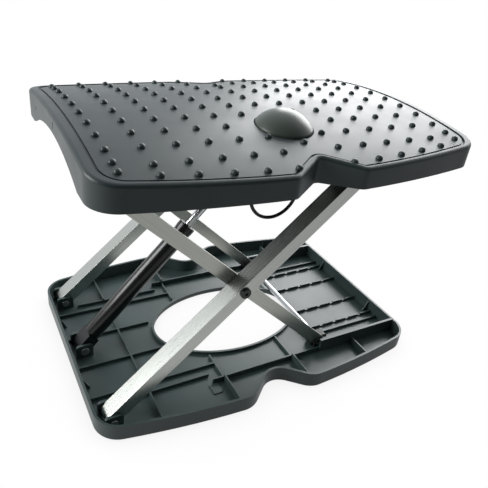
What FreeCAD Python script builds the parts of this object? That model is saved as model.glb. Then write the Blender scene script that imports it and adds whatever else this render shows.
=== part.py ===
import FreeCAD, Part
import os
from math import asin, atan2, cos, degrees, hypot, pi, radians, sin, sqrt, tan

# All sizes are in millimetres.
# X runs along the long side, Y from the front to the back, Z up.
# The pieces are drawn about the middle of the base and saved about the middle of the
# longer platform, which is the middle of the whole.
os.makedirs("parts", exist_ok=True)
V = FreeCAD.Vector

# Plan outline of the base tray; the platform shares its depths and corners
length = 450.0
depth_middle = 331.0
depth_ends = 285.0
corner_radius = 31.0
notch_flank_angle = 42.0
notch_depth = 31.0
notch_apex_radius = 25.0
notch_shoulder_radius = 30.0

# The platform is longer than the base at the sliding end and has a sharper notch
platform_overhang = 12.6
platform_notch_angle = 36.0
platform_notch_depth = 28.5
platform_apex_radius = 8.0
platform_shoulder_radius = 12.0

# Base tray
foot_stand_off = 0.8
base_height = 22.6
floor_thickness = 2.2
wall_thickness = 3.0
bottom_edge_radius = 2.0
rib_height = 4.2
rib_thickness = 1.8
front_rib_height = 10.0
tall_rib_height = 7.0

# Oval opening in the base
oval_half_length = 107.0
oval_half_width = 68.0
oval_ring_thickness = 3.0

# Ribs of the base, by their distance from the middle, from an arm or from an end
gas_rib_y = 28.0
toothed_rib_y = 68.0
inner_rib_offset = 23.5
outer_rib_offset = 8.0
front_bay_rib_offset = 5.0
cross_rib_left_inset = 73.0
cross_rib_mid_x = -57.0
cross_rib_right_x = 46.0
cross_rib_far_inset = 79.0
tooth_pitch = 24.0
tooth_gap = 6.0
tooth_depth = 2.2
tooth_count = 4

# Track walls beside the sliding ends
track_lead = 6.8
track_wall_offset = 4.3
track_wall_thickness = 3.7

# Gussets on the end walls
gusset_y = 60.0
gusset_reach = 10.0

# Low square boss on the floor of the front bay
boss_x = -73.5
boss_inset = 45.0
boss_length = 12.0
boss_width = 16.0
boss_height = 1.2

# Upright strips inside the long walls
strip_inset = 73.0
strip_depth = 2.0
strip_drop = 1.5

# Rubber feet
foot_radius = 9.0
foot_height = 1.9
foot_pocket_clearance = 0.1
foot_end_inset = 40.0
foot_side_inset = 53.5

# Scissor linkage
pivot_inset = 20.0
pivot_z = 11.5
raised_angle = 42.4
lowest_angle = 8.0
arm_height = 16.2
outer_arm_width = 21.5
outer_arm_wall = 2.5
outer_arm_inset = 60.5
inner_arm_thickness = 4.0
arm_side_gap = 1.0
running_clearance = 0.05
side_clearance = 0.3

# Pins and rods
base_pin_radius = 3.0
base_pin_head_radius = 4.6
base_pin_head_height = 1.8
centre_bolt_radius = 4.0
centre_head_radius = 6.5
centre_head_height = 3.0
centre_nut_across = 13.0
centre_nut_height = 5.0
washer_radius = 8.0
slide_rod_radius = 4.0
rod_end_radius = 6.0
rod_end_height = 2.0

# Base ears that hold the outer arms and the gas spring
ear_thickness = 3.6
ear_length = 22.0
ear_height = 17.5
ear_corner_radius = 5.0
gas_y = 10.0
gas_eye_width = 23.4

# Sliding shoes at the lower ends
shoe_length = 26.0
shoe_height = 16.0
shoe_corner_radius = 5.0
shoe_plate_thickness = 2.6
shoe_block_width = 13.0
shoe_screw_radius = 1.6
shoe_screw_height = 0.8
shoe_screw_spacing = 8.0

# Sliding blocks at the upper ends
rail_block_length = 18.0
rail_block_height = 11.4
rail_block_width = 13.0
rail_block_corner_radius = 2.0

# Gas spring
gas_angle = 47.8
gas_cylinder_radius = 11.0
gas_cylinder_start = 20.0
gas_cylinder_end = 200.0
gas_collar_length = 8.0
gas_collar_radius = 11.6
gas_rod_radius = 5.0
gas_bore_radius = 9.6
gas_rod_inside = 128.0
gas_eye_radius = 8.2
gas_pin_radius = 4.0
gas_head_width = 14.0
gas_head_length = 18.0
gas_head_height = 16.0
gas_head_corner_radius = 4.0
gas_top_rise = 2.0
release_pin_radius = 2.0
release_pin_height = 4.0

# Platform shell
platform_wall_drop = 6.5
top_above_pivot = 33.74
arch_radius = 800.0
shell_thickness = 3.5
rim_edge_radius = 4.2
field_inset = 4.8
field_end_inset = 5.5
groove_width = 3.0
groove_depth = 2.0
field_depth = 0.8
side_arch_height = 21.5
side_arch_inset = 45.5
wall_slot_width = 2.0
wall_slot_depth = 1.0

# Nubs on the platform
nub_end_inset = 27.3
nub_columns = 13
nub_pitch_y = 29.85
nub_rows_each_side = 3
nub_outer_row_inset = 44.5
nub_end_row_inset = 30.5
nub_edge_inset = 14.6
nub_notch_inset = 31.0
nub_radius = 3.7
nub_height = 3.9
nub_shoulder = 0.8
nub_root = 0.6
nub_button_margin = 6.4
nub_corner_inset = 14.8

# Brackets under the platform
bracket_top_rise = 21.0
bracket_sheet = 3.0
pivot_ear_thickness = 4.5
pivot_bracket_length = 46.0
rail_sheet = 3.0
rail_flange_width = 14.0
rail_lead = 19.8
rail_end_inset = 7.0
rail_drop = 11.5
pad_margin = 2.0
pad_screw_radius = 1.8
pad_screw_head_radius = 3.6
pad_screw_head_height = 1.8
gas_bracket_length = 64.0
gas_bracket_drop = 10.0
bracket_ear_drop = 9.0
bracket_corner_radius = 7.0

# Foot button
button_x = 5.5
button_inset = 98.8
button_radius = 32.5
button_gap = 1.0
button_dome_height = 17.0
button_wall = 2.4
button_skirt = 12.0
button_travel = 3.0
button_post_radius = 3.0
button_post_end = 24.4
sleeve_wall = 2.5
sleeve_depth = 14.0
housing_wall = 2.5
housing_floor_depth = 34.5
housing_floor_thickness = 2.0
housing_top_depth = 6.0

# Release lever and its springs
lever_turn = 30.0
lever_pivot_reach = 18.0
lever_post_reach = 6.0
lever_nipple_reach = 30.0
lever_depth = 26.2
lever_thickness = 3.0
lever_width = 9.0
lever_inner_end = 3.0
lever_outer_margin = 3.5
lever_hub_radius = 3.4
lever_pin_radius = 2.0
lever_ear_thickness = 2.4
spring_offset_x = 17.0
spring_offset_y = 8.0
spring_radius = 5.0
spring_wire_radius = 0.6
spring_turns = 5.0
spring_boss_depth = 9.0

# Release cable
cable_radius = 2.0
cable_loop_radius = 30.0
cable_loop_drop = 38.0
cable_run_rise = 14.0
cable_bend_radius = 18.0
cable_turn_radius = 32.0
ferrule_radius = 3.2
ferrule_length = 7.0
inner_wire_radius = 0.6
cable_hole_radius = 2.4


# Helpers
def box(x0, x1, y0, y1, z0, z1):
    return Part.makeBox(x1 - x0, y1 - y0, z1 - z0, V(x0, y0, z0))


def rod_y(x, z, radius, y0, y1):
    return Part.makeCylinder(radius, y1 - y0, V(x, y0, z), V(0, 1, 0))


def rod_z(x, y, radius, z0, z1):
    return Part.makeCylinder(radius, z1 - z0, V(x, y, z0), V(0, 0, 1))


def to_back(shape):
    return shape.mirror(V(0, 0, 0), V(0, 1, 0))


def both_sides(shape):
    return [shape, to_back(shape)]


def save(name, shapes):
    shape = shapes[0] if len(shapes) == 1 else Part.makeCompound(shapes)
    shape = shape.copy()
    shape.translate(V(-platform_middle_x, 0, 0))
    shape.exportStep("parts/" + name + ".step")


def prism(points, height):
    loop = [V(*point) for point in points]
    loop.append(loop[0])
    return Part.Face(Part.makePolygon(loop)).extrude(height)


def vertical_edges(shape, places):
    chosen = []
    for edge in shape.Edges:
        start = edge.Vertexes[0].Point
        end = edge.Vertexes[-1].Point
        if hypot(start.x - end.x, start.y - end.y) > 0.01 or abs(start.z - end.z) < 1:
            continue
        if any(hypot(start.x - x, start.y - y) < 1.0 for x, y in places):
            chosen.append(edge)
    return chosen


def tilted(shape, angle, x, y, z):
    shape = shape.copy()
    shape.rotate(V(0, 0, 0), V(0, 1, 0), -angle)
    shape.translate(V(x, y, z))
    return shape


# Values that follow from the ones above
half_length = length / 2
half_depth = depth_middle / 2
half_end = depth_ends / 2
pivot_x = pivot_inset - half_length
half_arm = half_length - pivot_inset
outer_arm_inner_y = half_depth - outer_arm_inset
foot_inset_x = half_length - foot_end_inset
foot_inset_y = half_depth - foot_side_inset
cross_rib_left_x = cross_rib_left_inset - half_length
cross_rib_far_x = half_length - cross_rib_far_inset
inner_rib_y = outer_arm_inner_y - inner_rib_offset
outer_rib_y = outer_arm_inner_y - outer_rib_offset
front_bay_rib_y = outer_arm_inner_y + front_bay_rib_offset
track_wall_y = outer_arm_inner_y + track_wall_offset
boss_y = boss_inset - half_depth
strip_x = half_length - strip_inset
platform_middle_x = platform_overhang / 2
platform_half = half_length + platform_overhang / 2
nub_pitch_x = (platform_half - nub_end_inset) / (nub_columns // 2)
nub_outer_row_y = half_depth - nub_outer_row_inset
nub_end_row_y = half_end - nub_end_row_inset
nub_corner_y = half_end - nub_corner_inset
button_y = button_inset - half_depth
side_arch_half_width = half_end - side_arch_inset
bow = half_depth - half_end
floor_bottom = foot_stand_off
floor_top = floor_bottom + floor_thickness
low_rib_top = floor_top + rib_height
raised = radians(raised_angle)
centre_x = pivot_x + half_arm * cos(raised)
centre_z = pivot_z + half_arm * sin(raised)
slide_x = pivot_x + 2 * half_arm * cos(raised)
slide_x_low = pivot_x + 2 * half_arm * cos(radians(lowest_angle))
top_pivot_z = pivot_z + 2 * half_arm * sin(raised)
track_start_x = slide_x - track_lead
rail_start_x = slide_x - rail_lead
rail_end_x = half_length - rail_end_inset
bracket_top_z = top_pivot_z + bracket_top_rise
cable_loop_centre_z = top_pivot_z - cable_loop_drop
cable_run_z = top_pivot_z + cable_run_rise
wall_bottom_z = top_pivot_z - platform_wall_drop
crown_z = top_pivot_z + top_above_pivot
arch_centre_z = crown_z - arch_radius
outer_arm_outer_y = outer_arm_inner_y + outer_arm_width
inner_arm_outer_y = outer_arm_inner_y - arm_side_gap
inner_arm_inner_y = inner_arm_outer_y - inner_arm_thickness
arm_radius = arm_height / 2
gas_top_z = top_pivot_z + gas_top_rise
gas_lean = radians(gas_angle)
gas_top_x = pivot_x + (gas_top_z - pivot_z) / tan(gas_lean)
gas_length = hypot(gas_top_x - pivot_x, gas_top_z - pivot_z)


def surface_z(y):
    return arch_centre_z + sqrt(arch_radius**2 - y**2)


# A plan outline: bowed long sides, straight ends and a notch in the middle of each long side
class Plan:
    def __init__(self, middle_x, half, notch_angle, depth, apex_radius, shoulder_radius):
        self.middle_x = middle_x
        self.half = half
        self.bow_radius = (half**2 + bow**2) / (2 * bow)
        self.slope = tan(radians(notch_angle))
        self.apex_y = half_depth - depth - apex_radius * (1 / cos(radians(notch_angle)) - 1)
        self.apex_radius = apex_radius
        self.shoulder_radius = shoulder_radius

    # Half of the depth, at a distance from the outline's own middle
    def bow_depth(self, x):
        return sqrt(self.bow_radius**2 - x**2) - (self.bow_radius - half_depth)

    def shoulder_x(self):
        x = 0.0
        for step in range(60):
            x = (self.bow_depth(x) - self.apex_y) / self.slope
        return x

    # The outline as a solid between two heights
    def solid(self, z0, z1):
        half = self.half
        front = Part.Arc(V(-half, -half_end, z0), V(0, -half_depth, z0), V(half, -half_end, z0))
        back = Part.Arc(V(half, half_end, z0), V(0, half_depth, z0), V(-half, half_end, z0))
        right = Part.LineSegment(V(half, -half_end, z0), V(half, half_end, z0))
        left = Part.LineSegment(V(-half, half_end, z0), V(-half, -half_end, z0))
        wire = Part.Wire([front.toShape(), right.toShape(), back.toShape(), left.toShape()])
        body = Part.Face(wire).extrude(V(0, 0, z1 - z0))
        wide = 70.0
        deep = self.apex_y + wide * self.slope
        for side in (-1, 1):
            points = [(0, side * self.apex_y, z0), (wide, side * deep, z0), (-wide, side * deep, z0)]
            body = body.cut(prism(points, V(0, 0, z1 - z0)))
        shoulder = self.shoulder_x()
        shoulder_y = self.bow_depth(shoulder)
        corners = [(sx * half, sy * half_end) for sx in (-1, 1) for sy in (-1, 1)]
        shoulders = [(sx * shoulder, sy * shoulder_y) for sx in (-1, 1) for sy in (-1, 1)]
        apexes = [(0, -self.apex_y), (0, self.apex_y)]
        body = body.makeFillet(corner_radius, vertical_edges(body, corners))
        body = body.makeFillet(self.shoulder_radius, vertical_edges(body, shoulders))
        body = body.makeFillet(self.apex_radius, vertical_edges(body, apexes))
        body.translate(V(self.middle_x, 0, 0))
        return body

    # The outline moved inwards, as a solid between two heights
    def inset(self, inset, z0, z1):
        lower = min(self.solid(z0, z1).Faces, key=lambda face: face.CenterOfMass.z)
        wire = lower.OuterWire.makeOffset2D(-inset)
        return Part.Face(wire).extrude(V(0, 0, z1 - z0))


base_plan = Plan(
    0.0, half_length, notch_flank_angle, notch_depth, notch_apex_radius, notch_shoulder_radius
)
platform_notch = (
    platform_notch_angle, platform_notch_depth, platform_apex_radius, platform_shoulder_radius
)
platform_plan = Plan(platform_middle_x, platform_half, *platform_notch)
field_plan = Plan(platform_middle_x, platform_half - field_end_inset, *platform_notch)


# Base tray
def oval(half_x, half_y, z0, z1):
    ellipse = Part.Ellipse(V(0, 0, z0), half_x, half_y)
    return Part.Face(Part.Wire(ellipse.toShape())).extrude(V(0, 0, z1 - z0))


def long_rib(x0, x1, y, top):
    return box(x0, x1, y - rib_thickness / 2, y + rib_thickness / 2, floor_top - 0.5, top)


def cross_rib(x, y0, y1, top):
    return box(x - rib_thickness / 2, x + rib_thickness / 2, y0, y1, floor_top - 0.5, top)


def toothed_rib(y):
    rib = long_rib(slide_x + 6, half_length - 1, y, low_rib_top)
    first = slide_x + 26
    for i in range(tooth_count):
        x = first + i * tooth_pitch
        gap = box(x, x + tooth_gap, y - 2, y + 2, low_rib_top - tooth_depth, low_rib_top + 1)
        rib = rib.cut(gap)
    return rib


def ear(x0, y0, y1, z0, z1):
    plate = box(x0, x0 + ear_length, y0, y1, z0, z1)
    middle_y = (y0 + y1) / 2
    top_edges = [e for e in plate.Edges if abs(e.CenterOfMass.z - z1) < 0.01]
    corners = [e for e in top_edges if abs(e.CenterOfMass.y - middle_y) < 0.01]
    return plate.makeFillet(ear_corner_radius, corners)


base_ear_x = pivot_x - ear_length / 2
outer_ear_y = -outer_arm_outer_y - side_clearance
inner_ear_y = -outer_arm_inner_y + side_clearance
gas_ear_front_y = gas_y - gas_eye_width / 2 - side_clearance
gas_ear_back_y = gas_y + gas_eye_width / 2 + side_clearance
ear_top = floor_top + ear_height


def base_ribs():
    ribs = []
    for side in (-1, 1):
        ribs.append(long_rib(-half_length + 1, cross_rib_mid_x, side * inner_rib_y, low_rib_top))
        ribs.append(long_rib(slide_x + 6, half_length - 1, side * inner_rib_y, low_rib_top))
        ribs.append(long_rib(pivot_x + 16, cross_rib_mid_x - 16, side * outer_rib_y, low_rib_top))
        ribs.append(
            long_rib(
                cross_rib_mid_x - 16,
                track_start_x + 1,
                side * front_bay_rib_y,
                floor_top + tall_rib_height,
            )
        )
        ribs.append(long_rib(-half_length + 1, -oval_half_length - 1, side * gas_rib_y, low_rib_top))
        ribs.append(toothed_rib(side * gas_rib_y))
        ribs.append(toothed_rib(side * toothed_rib_y))
        y_out = base_plan.bow_depth(cross_rib_left_x) - 1.5
        ribs.append(
            cross_rib(cross_rib_left_x, *sorted((side * outer_rib_y, side * y_out)), low_rib_top + 2)
        )
        ribs.append(
            cross_rib(cross_rib_left_x, *sorted((side * gas_rib_y, side * inner_rib_y)), low_rib_top)
        )
        y_out = base_plan.bow_depth(cross_rib_mid_x) - 1.5
        ribs.append(
            cross_rib(cross_rib_mid_x, *sorted((side * 66, side * front_bay_rib_y)), low_rib_top)
        )
        ribs.append(
            cross_rib(
                cross_rib_mid_x,
                *sorted((side * front_bay_rib_y, side * y_out)),
                floor_top + front_rib_height,
            )
        )
        y_out = base_plan.bow_depth(cross_rib_right_x) - 6
        ribs.append(
            cross_rib(cross_rib_right_x, *sorted((side * 66, side * front_bay_rib_y)), low_rib_top)
        )
        ribs.append(
            cross_rib(
                cross_rib_right_x,
                *sorted((side * front_bay_rib_y, side * y_out)),
                floor_top + front_rib_height,
            )
        )
        y_out = base_plan.bow_depth(cross_rib_far_x) - 6
        ribs.append(
            cross_rib(
                cross_rib_far_x,
                *sorted((side * track_wall_y, side * y_out)),
                floor_top + front_rib_height,
            )
        )
    ribs.append(cross_rib(cross_rib_left_x, -gas_rib_y, gas_rib_y, low_rib_top))
    return ribs


def gusset(side_x, y):
    x = side_x * (half_length - wall_thickness + 0.5)
    reach = x - side_x * gusset_reach
    y0 = y - rib_thickness / 2
    points = [(x, y0, floor_top - 0.2), (reach, y0, floor_top - 0.2), (x, y0, base_height - 1)]
    return prism(points, V(0, rib_thickness, 0))


def floor_boss():
    half_x = boss_length / 2
    half_y = boss_width / 2
    low = floor_top - 0.5
    return box(
        boss_x - half_x, boss_x + half_x, boss_y - half_y, boss_y + half_y, low, floor_top + boss_height
    )


def base_tray():
    shell = base_plan.solid(floor_bottom, base_height)
    lower = [
        e
        for e in shell.Edges if abs(e.BoundBox.ZMax - floor_bottom) < 0.01 and e.BoundBox.ZLength < 0.01
    ]
    shell = shell.makeFillet(bottom_edge_radius, lower)
    shell = shell.cut(base_plan.inset(wall_thickness, floor_top, base_height + 1))
    adds = []
    for rib in base_ribs():
        adds.append(rib)
    for side_x in (-1, 1):
        for side_y in (-1, 1):
            adds.append(gusset(side_x, side_y * gusset_y))
    wall = box(
        track_start_x,
        half_length - 1.5,
        -track_wall_y - track_wall_thickness,
        -track_wall_y,
        floor_top - 0.5,
        base_height,
    )
    adds.extend(both_sides(wall))
    adds.append(floor_boss())
    strip_outer_y = base_plan.bow_depth(strip_x) - wall_thickness + 1.0
    strip = box(
        strip_x - rib_thickness / 2,
        strip_x + rib_thickness / 2,
        -strip_outer_y,
        -strip_outer_y + strip_depth + 1.0,
        floor_top - 0.5,
        base_height - strip_drop,
    )
    adds.extend(both_sides(strip))
    outer_ear = ear(base_ear_x, outer_ear_y - ear_thickness, outer_ear_y, floor_top - 0.5, ear_top)
    inner_ear = ear(base_ear_x, inner_ear_y, inner_ear_y + ear_thickness, floor_top - 0.5, ear_top)
    adds.extend(both_sides(outer_ear))
    adds.extend(both_sides(inner_ear))
    adds.append(
        ear(base_ear_x, gas_ear_front_y - ear_thickness, gas_ear_front_y, floor_top - 0.5, ear_top)
    )
    adds.append(
        ear(base_ear_x, gas_ear_back_y, gas_ear_back_y + ear_thickness, floor_top - 0.5, ear_top)
    )
    shell = shell.fuse(adds)
    ring_outer_x = oval_half_length + oval_ring_thickness
    ring_outer_y = oval_half_width + oval_ring_thickness
    shell = shell.fuse(oval(ring_outer_x, ring_outer_y, floor_top - 0.5, low_rib_top))
    shell = shell.cut(oval(oval_half_length, oval_half_width, floor_bottom - 1, low_rib_top + 5))
    pin_hole = rod_y(
        pivot_x, pivot_z, base_pin_radius, -outer_arm_outer_y - 10, -outer_arm_inner_y + 10
    )
    shell = shell.cut(both_sides(pin_hole))
    shell = shell.cut(rod_y(pivot_x, pivot_z, gas_pin_radius, gas_y - 25, gas_y + 25))
    for x, y in foot_places():
        pocket_top = foot_height + foot_pocket_clearance
        shell = shell.cut(rod_z(x, y, foot_radius + foot_pocket_clearance, 0, pocket_top))
    return shell.removeSplitter()


def foot_places():
    places = [(sx * foot_inset_x, sy * foot_inset_y) for sx in (-1, 1) for sy in (-1, 1)]
    return places + [(0, -foot_inset_y), (0, foot_inset_y)]


save("base_tray", [base_tray()])

feet = []
for x, y in foot_places():
    foot = rod_z(x, y, foot_radius, 0, foot_height)
    rim = [e for e in foot.Edges if abs(e.BoundBox.ZMax) < 0.01]
    feet.append(foot.makeFillet(0.5, rim))
save("rubber_feet", feet)


# Pins through the base ears, with a shallow head at each end
def headed_pin(x, z, radius, y0, y1, head_radius, head_height):
    pin = rod_y(x, z, radius, y0, y1)
    front = rod_y(x, z, head_radius, y0 - head_height, y0)
    back = rod_y(x, z, head_radius, y1, y1 + head_height)
    heads = front.makeFillet(
        0.6,
        [
            e
            for e in front.Edges
            if abs(e.BoundBox.YMin - (y0 - head_height)) < 0.01 and e.BoundBox.YLength < 0.01
        ],
    )
    tails = back.makeFillet(
        0.6,
        [
            e
            for e in back.Edges
            if abs(e.BoundBox.YMax - (y1 + head_height)) < 0.01 and e.BoundBox.YLength < 0.01
        ],
    )
    return pin.fuse([heads, tails])


base_pin = headed_pin(
    pivot_x,
    pivot_z,
    base_pin_radius - 0.02,
    outer_ear_y - ear_thickness,
    inner_ear_y + ear_thickness,
    base_pin_head_radius,
    base_pin_head_height,
)
save("base_pivot_pins", both_sides(base_pin))
gas_pin = headed_pin(
    pivot_x,
    pivot_z,
    gas_pin_radius - 0.02,
    gas_ear_front_y - ear_thickness,
    gas_ear_back_y + ear_thickness,
    base_pin_head_radius + 1,
    base_pin_head_height,
)
save("gas_lower_pin", [gas_pin])


# Arms, drawn along X from their first pivot and then tilted
def arm_blank(y0, y1):
    long = 2 * half_arm
    bar = box(0, long, y0, y1, -arm_radius, arm_radius)
    return bar.fuse(
        [rod_y(0, 0, arm_radius, y0, y1), rod_y(long, 0, arm_radius, y0, y1)]
    ).removeSplitter()


def outer_arm():
    long = 2 * half_arm
    arm = arm_blank(-outer_arm_outer_y, -outer_arm_inner_y)
    inside = box(
        -20,
        long + 20,
        -outer_arm_outer_y + outer_arm_wall,
        -outer_arm_inner_y - outer_arm_wall,
        -arm_radius - 1,
        arm_radius - outer_arm_wall,
    )
    arm = arm.cut(inside)
    holes = [
        rod_y(
            0, 0, base_pin_radius + running_clearance, -outer_arm_outer_y - 1, -outer_arm_inner_y + 1
        ),
        rod_y(half_arm, 0, centre_bolt_radius, -outer_arm_outer_y - 1, -outer_arm_inner_y + 1),
        rod_y(long, 0, slide_rod_radius, -outer_arm_outer_y - 1, -outer_arm_inner_y + 1),
    ]
    return tilted(arm.cut(holes), raised_angle, pivot_x, 0, pivot_z)


def inner_arm():
    long = 2 * half_arm
    arm = arm_blank(-inner_arm_outer_y, -inner_arm_inner_y)
    holes = [
        rod_y(
            0, 0, base_pin_radius + running_clearance, -inner_arm_outer_y - 1, -inner_arm_inner_y + 1
        ),
        rod_y(
            half_arm,
            0,
            centre_bolt_radius + running_clearance,
            -inner_arm_outer_y - 1,
            -inner_arm_inner_y + 1,
        ),
        rod_y(long, 0, slide_rod_radius, -inner_arm_outer_y - 1, -inner_arm_inner_y + 1),
    ]
    return tilted(arm.cut(holes), -raised_angle, pivot_x, 0, top_pivot_z)


front_outer = outer_arm()
front_inner = inner_arm()
save("outer_arm_front", [front_outer])
save("outer_arm_back", [to_back(front_outer)])
save("inner_arm_front", [front_inner])
save("inner_arm_back", [to_back(front_inner)])


# Centre bolts, washers and nuts
nut_clearance = side_clearance
bolt_end_y = -inner_arm_inner_y + nut_clearance + centre_nut_height
bolt = rod_y(centre_x, centre_z, centre_bolt_radius - 0.02, -outer_arm_outer_y, bolt_end_y + 1.0)
head = rod_y(
    centre_x, centre_z, centre_head_radius, -outer_arm_outer_y - centre_head_height, -outer_arm_outer_y
)
head_rim = [
    e
    for e in head.Edges if abs(e.BoundBox.YMax - (-outer_arm_outer_y - centre_head_height)) < 0.01
]
head = head.makeFillet(1.2, head_rim)
socket = Part.makeCylinder(
    2.2, 2.0, V(centre_x, -outer_arm_outer_y - centre_head_height - 0.5, centre_z), V(0, 1, 0)
)
save("centre_bolts", both_sides(bolt.fuse(head).cut(socket)))

washer_y = -outer_arm_inner_y
washer = rod_y(centre_x, centre_z, washer_radius, washer_y, washer_y + arm_side_gap - side_clearance)
washer = washer.cut(rod_y(centre_x, centre_z, centre_bolt_radius, washer_y - 1, washer_y + 3))
save("centre_washers", both_sides(washer))


def hex_nut(x, z, across, y0, y1, bore):
    corner = across / sqrt(3)
    points = []
    for i in range(6):
        angle = radians(60 * i)
        points.append((x + corner * cos(angle), y0, z + corner * sin(angle)))
    nut = prism(points, V(0, y1 - y0, 0))
    return nut.cut(rod_y(x, z, bore, y0 - 1, y1 + 1))


nut_start_y = -inner_arm_inner_y + nut_clearance
nut = hex_nut(centre_x, centre_z, centre_nut_across, nut_start_y, bolt_end_y, centre_bolt_radius)
save("centre_nuts", both_sides(nut))


# Slide rods: the lower one joins the inner arms, the upper one joins the outer arms
shoe_plate_y = -inner_arm_outer_y - side_clearance
shoe_block_y = -inner_arm_inner_y + side_clearance
lower_rod_end = inner_arm_outer_y + side_clearance + shoe_plate_thickness
save(
    "lower_slide_rod", [rod_y(slide_x, pivot_z, slide_rod_radius - 0.02, -lower_rod_end, lower_rod_end)]
)

upper_rod = headed_pin(
    slide_x,
    top_pivot_z,
    slide_rod_radius - 0.02,
    -outer_arm_outer_y,
    outer_arm_outer_y,
    rod_end_radius,
    rod_end_height,
)
save("upper_slide_rod", [upper_rod])


def shoe(y0, y1):
    z0 = floor_top + side_clearance
    body = box(slide_x - shoe_length / 2, slide_x + shoe_length / 2, y0, y1, z0, z0 + shoe_height)
    across = [e for e in body.Edges if e.BoundBox.YLength > 1 and e.BoundBox.XLength < 0.01]
    body = body.makeFillet(shoe_corner_radius, across)
    return body.cut(rod_y(slide_x, pivot_z, slide_rod_radius + running_clearance, y0 - 1, y1 + 1))


shoe_plate = shoe(shoe_plate_y - shoe_plate_thickness, shoe_plate_y)
shoe_block = shoe(shoe_block_y, shoe_block_y + shoe_block_width)
save("shoe_plates", both_sides(shoe_plate))
save("shoe_blocks", both_sides(shoe_block))

screws = []
screw_y = shoe_plate_y - shoe_plate_thickness
for i in (-1, 1):
    x = slide_x + i * shoe_screw_spacing
    screw = rod_y(x, pivot_z + 2, shoe_screw_radius, screw_y - shoe_screw_height, screw_y)
    screws.extend(both_sides(screw))
save("shoe_screws", screws)

rail_y = -outer_arm_inner_y + side_clearance
block_half = rail_block_height / 2
rail_block = box(
    slide_x - rail_block_length / 2,
    slide_x + rail_block_length / 2,
    rail_y,
    rail_y + rail_block_width,
    top_pivot_z - block_half,
    top_pivot_z + block_half,
)
rail_block = rail_block.makeFillet(
    rail_block_corner_radius, [e for e in rail_block.Edges if e.BoundBox.YLength > 1]
)
rail_block = rail_block.cut(
    rod_y(
        slide_x,
        top_pivot_z,
        slide_rod_radius + running_clearance,
        rail_y - 1,
        rail_y + rail_block_width + 1,
    )
)
save("rail_blocks", both_sides(rail_block))


# Gas spring, drawn along X from its lower pin and then tilted
def along(radius, start, end):
    return Part.makeCylinder(radius, end - start, V(start, gas_y, 0), V(1, 0, 0))


def gas_tilted(shape):
    return tilted(shape, gas_angle, pivot_x, 0, pivot_z)


half_eye = gas_eye_width / 2
eye = rod_y(0, 0, gas_eye_radius, gas_y - half_eye, gas_y + half_eye)
eye_neck = box(
    0, gas_cylinder_start, gas_y - half_eye, gas_y + half_eye, -gas_eye_radius, gas_eye_radius
)
eye_hole = rod_y(0, 0, gas_pin_radius + running_clearance, gas_y - half_eye - 1, gas_y + half_eye + 1)
save("gas_lower_eye", [gas_tilted(eye.fuse(eye_neck).removeSplitter().cut(eye_hole))])

tube = along(gas_cylinder_radius, gas_cylinder_start, gas_cylinder_end)
tube = tube.makeFillet(1.5, [e for e in tube.Edges if abs(e.BoundBox.XMax - gas_cylinder_start) < 0.01])
tube = tube.cut(along(gas_bore_radius, gas_cylinder_start + 4, gas_cylinder_end + 1))
save("gas_cylinder", [gas_tilted(tube)])

collar_end = gas_cylinder_end + gas_collar_length
collar = along(gas_collar_radius, gas_cylinder_end, collar_end)
collar = collar.makeFillet(1.5, [e for e in collar.Edges if abs(e.BoundBox.XMin - collar_end) < 0.01])
collar = collar.cut(along(gas_rod_radius + running_clearance, gas_cylinder_end - 1, collar_end + 1))
save("gas_collar", [gas_tilted(collar)])

rod_start = gas_length - gas_head_length / 2 - (gas_length - gas_cylinder_end) - 10
rod_end = gas_length - gas_head_length / 2
piston = along(gas_bore_radius - 0.1, rod_start, rod_start + 12)
gas_rod = along(gas_rod_radius, rod_start, rod_end).fuse(piston)
save("gas_rod", [gas_tilted(gas_rod)])

half_head = gas_head_width / 2
head = box(
    rod_end,
    rod_end + gas_head_length,
    gas_y - half_head,
    gas_y + half_head,
    -gas_head_height / 2,
    gas_head_height / 2,
)
head = head.makeFillet(gas_head_corner_radius, [e for e in head.Edges if e.BoundBox.YLength > 1])
save("gas_release_head", [gas_tilted(head)])
release_pin = along(
    release_pin_radius, rod_end + gas_head_length, rod_end + gas_head_length + release_pin_height
)
save("gas_release_pin", [gas_tilted(release_pin)])


# Platform shell
def arch(radius, x0, x1):
    return Part.makeCylinder(radius, x1 - x0, V(x0, 0, arch_centre_z), V(1, 0, 0))


# A nub: a short upright neck with a dome, square to the arched surface
def nub(x, y):
    dome = nub_height - nub_shoulder
    sphere_radius = (nub_radius**2 + dome**2) / (2 * dome)
    low = V(0, 0, -nub_root)
    rim = V(nub_radius, 0, nub_shoulder)
    top = V(0, 0, nub_height)
    lean = atan2(nub_radius, nub_shoulder - (nub_height - sphere_radius)) / 2
    middle = V(sphere_radius * sin(lean), 0, nub_height - sphere_radius + sphere_radius * cos(lean))
    wire = Part.Wire(
        [
            Part.LineSegment(low, V(nub_radius, 0, -nub_root)).toShape(),
            Part.LineSegment(V(nub_radius, 0, -nub_root), rim).toShape(),
            Part.Arc(rim, middle, top).toShape(),
            Part.LineSegment(top, low).toShape(),
        ]
    )
    shape = Part.Face(wire).revolve(V(0, 0, 0), V(0, 0, 1), 360)
    shape.translate(V(0, 0, arch_radius - field_depth))
    shape.rotate(V(0, 0, 0), V(1, 0, 0), -degrees(asin(y / arch_radius)))
    shape.translate(V(x, 0, arch_centre_z))
    return shape


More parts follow.
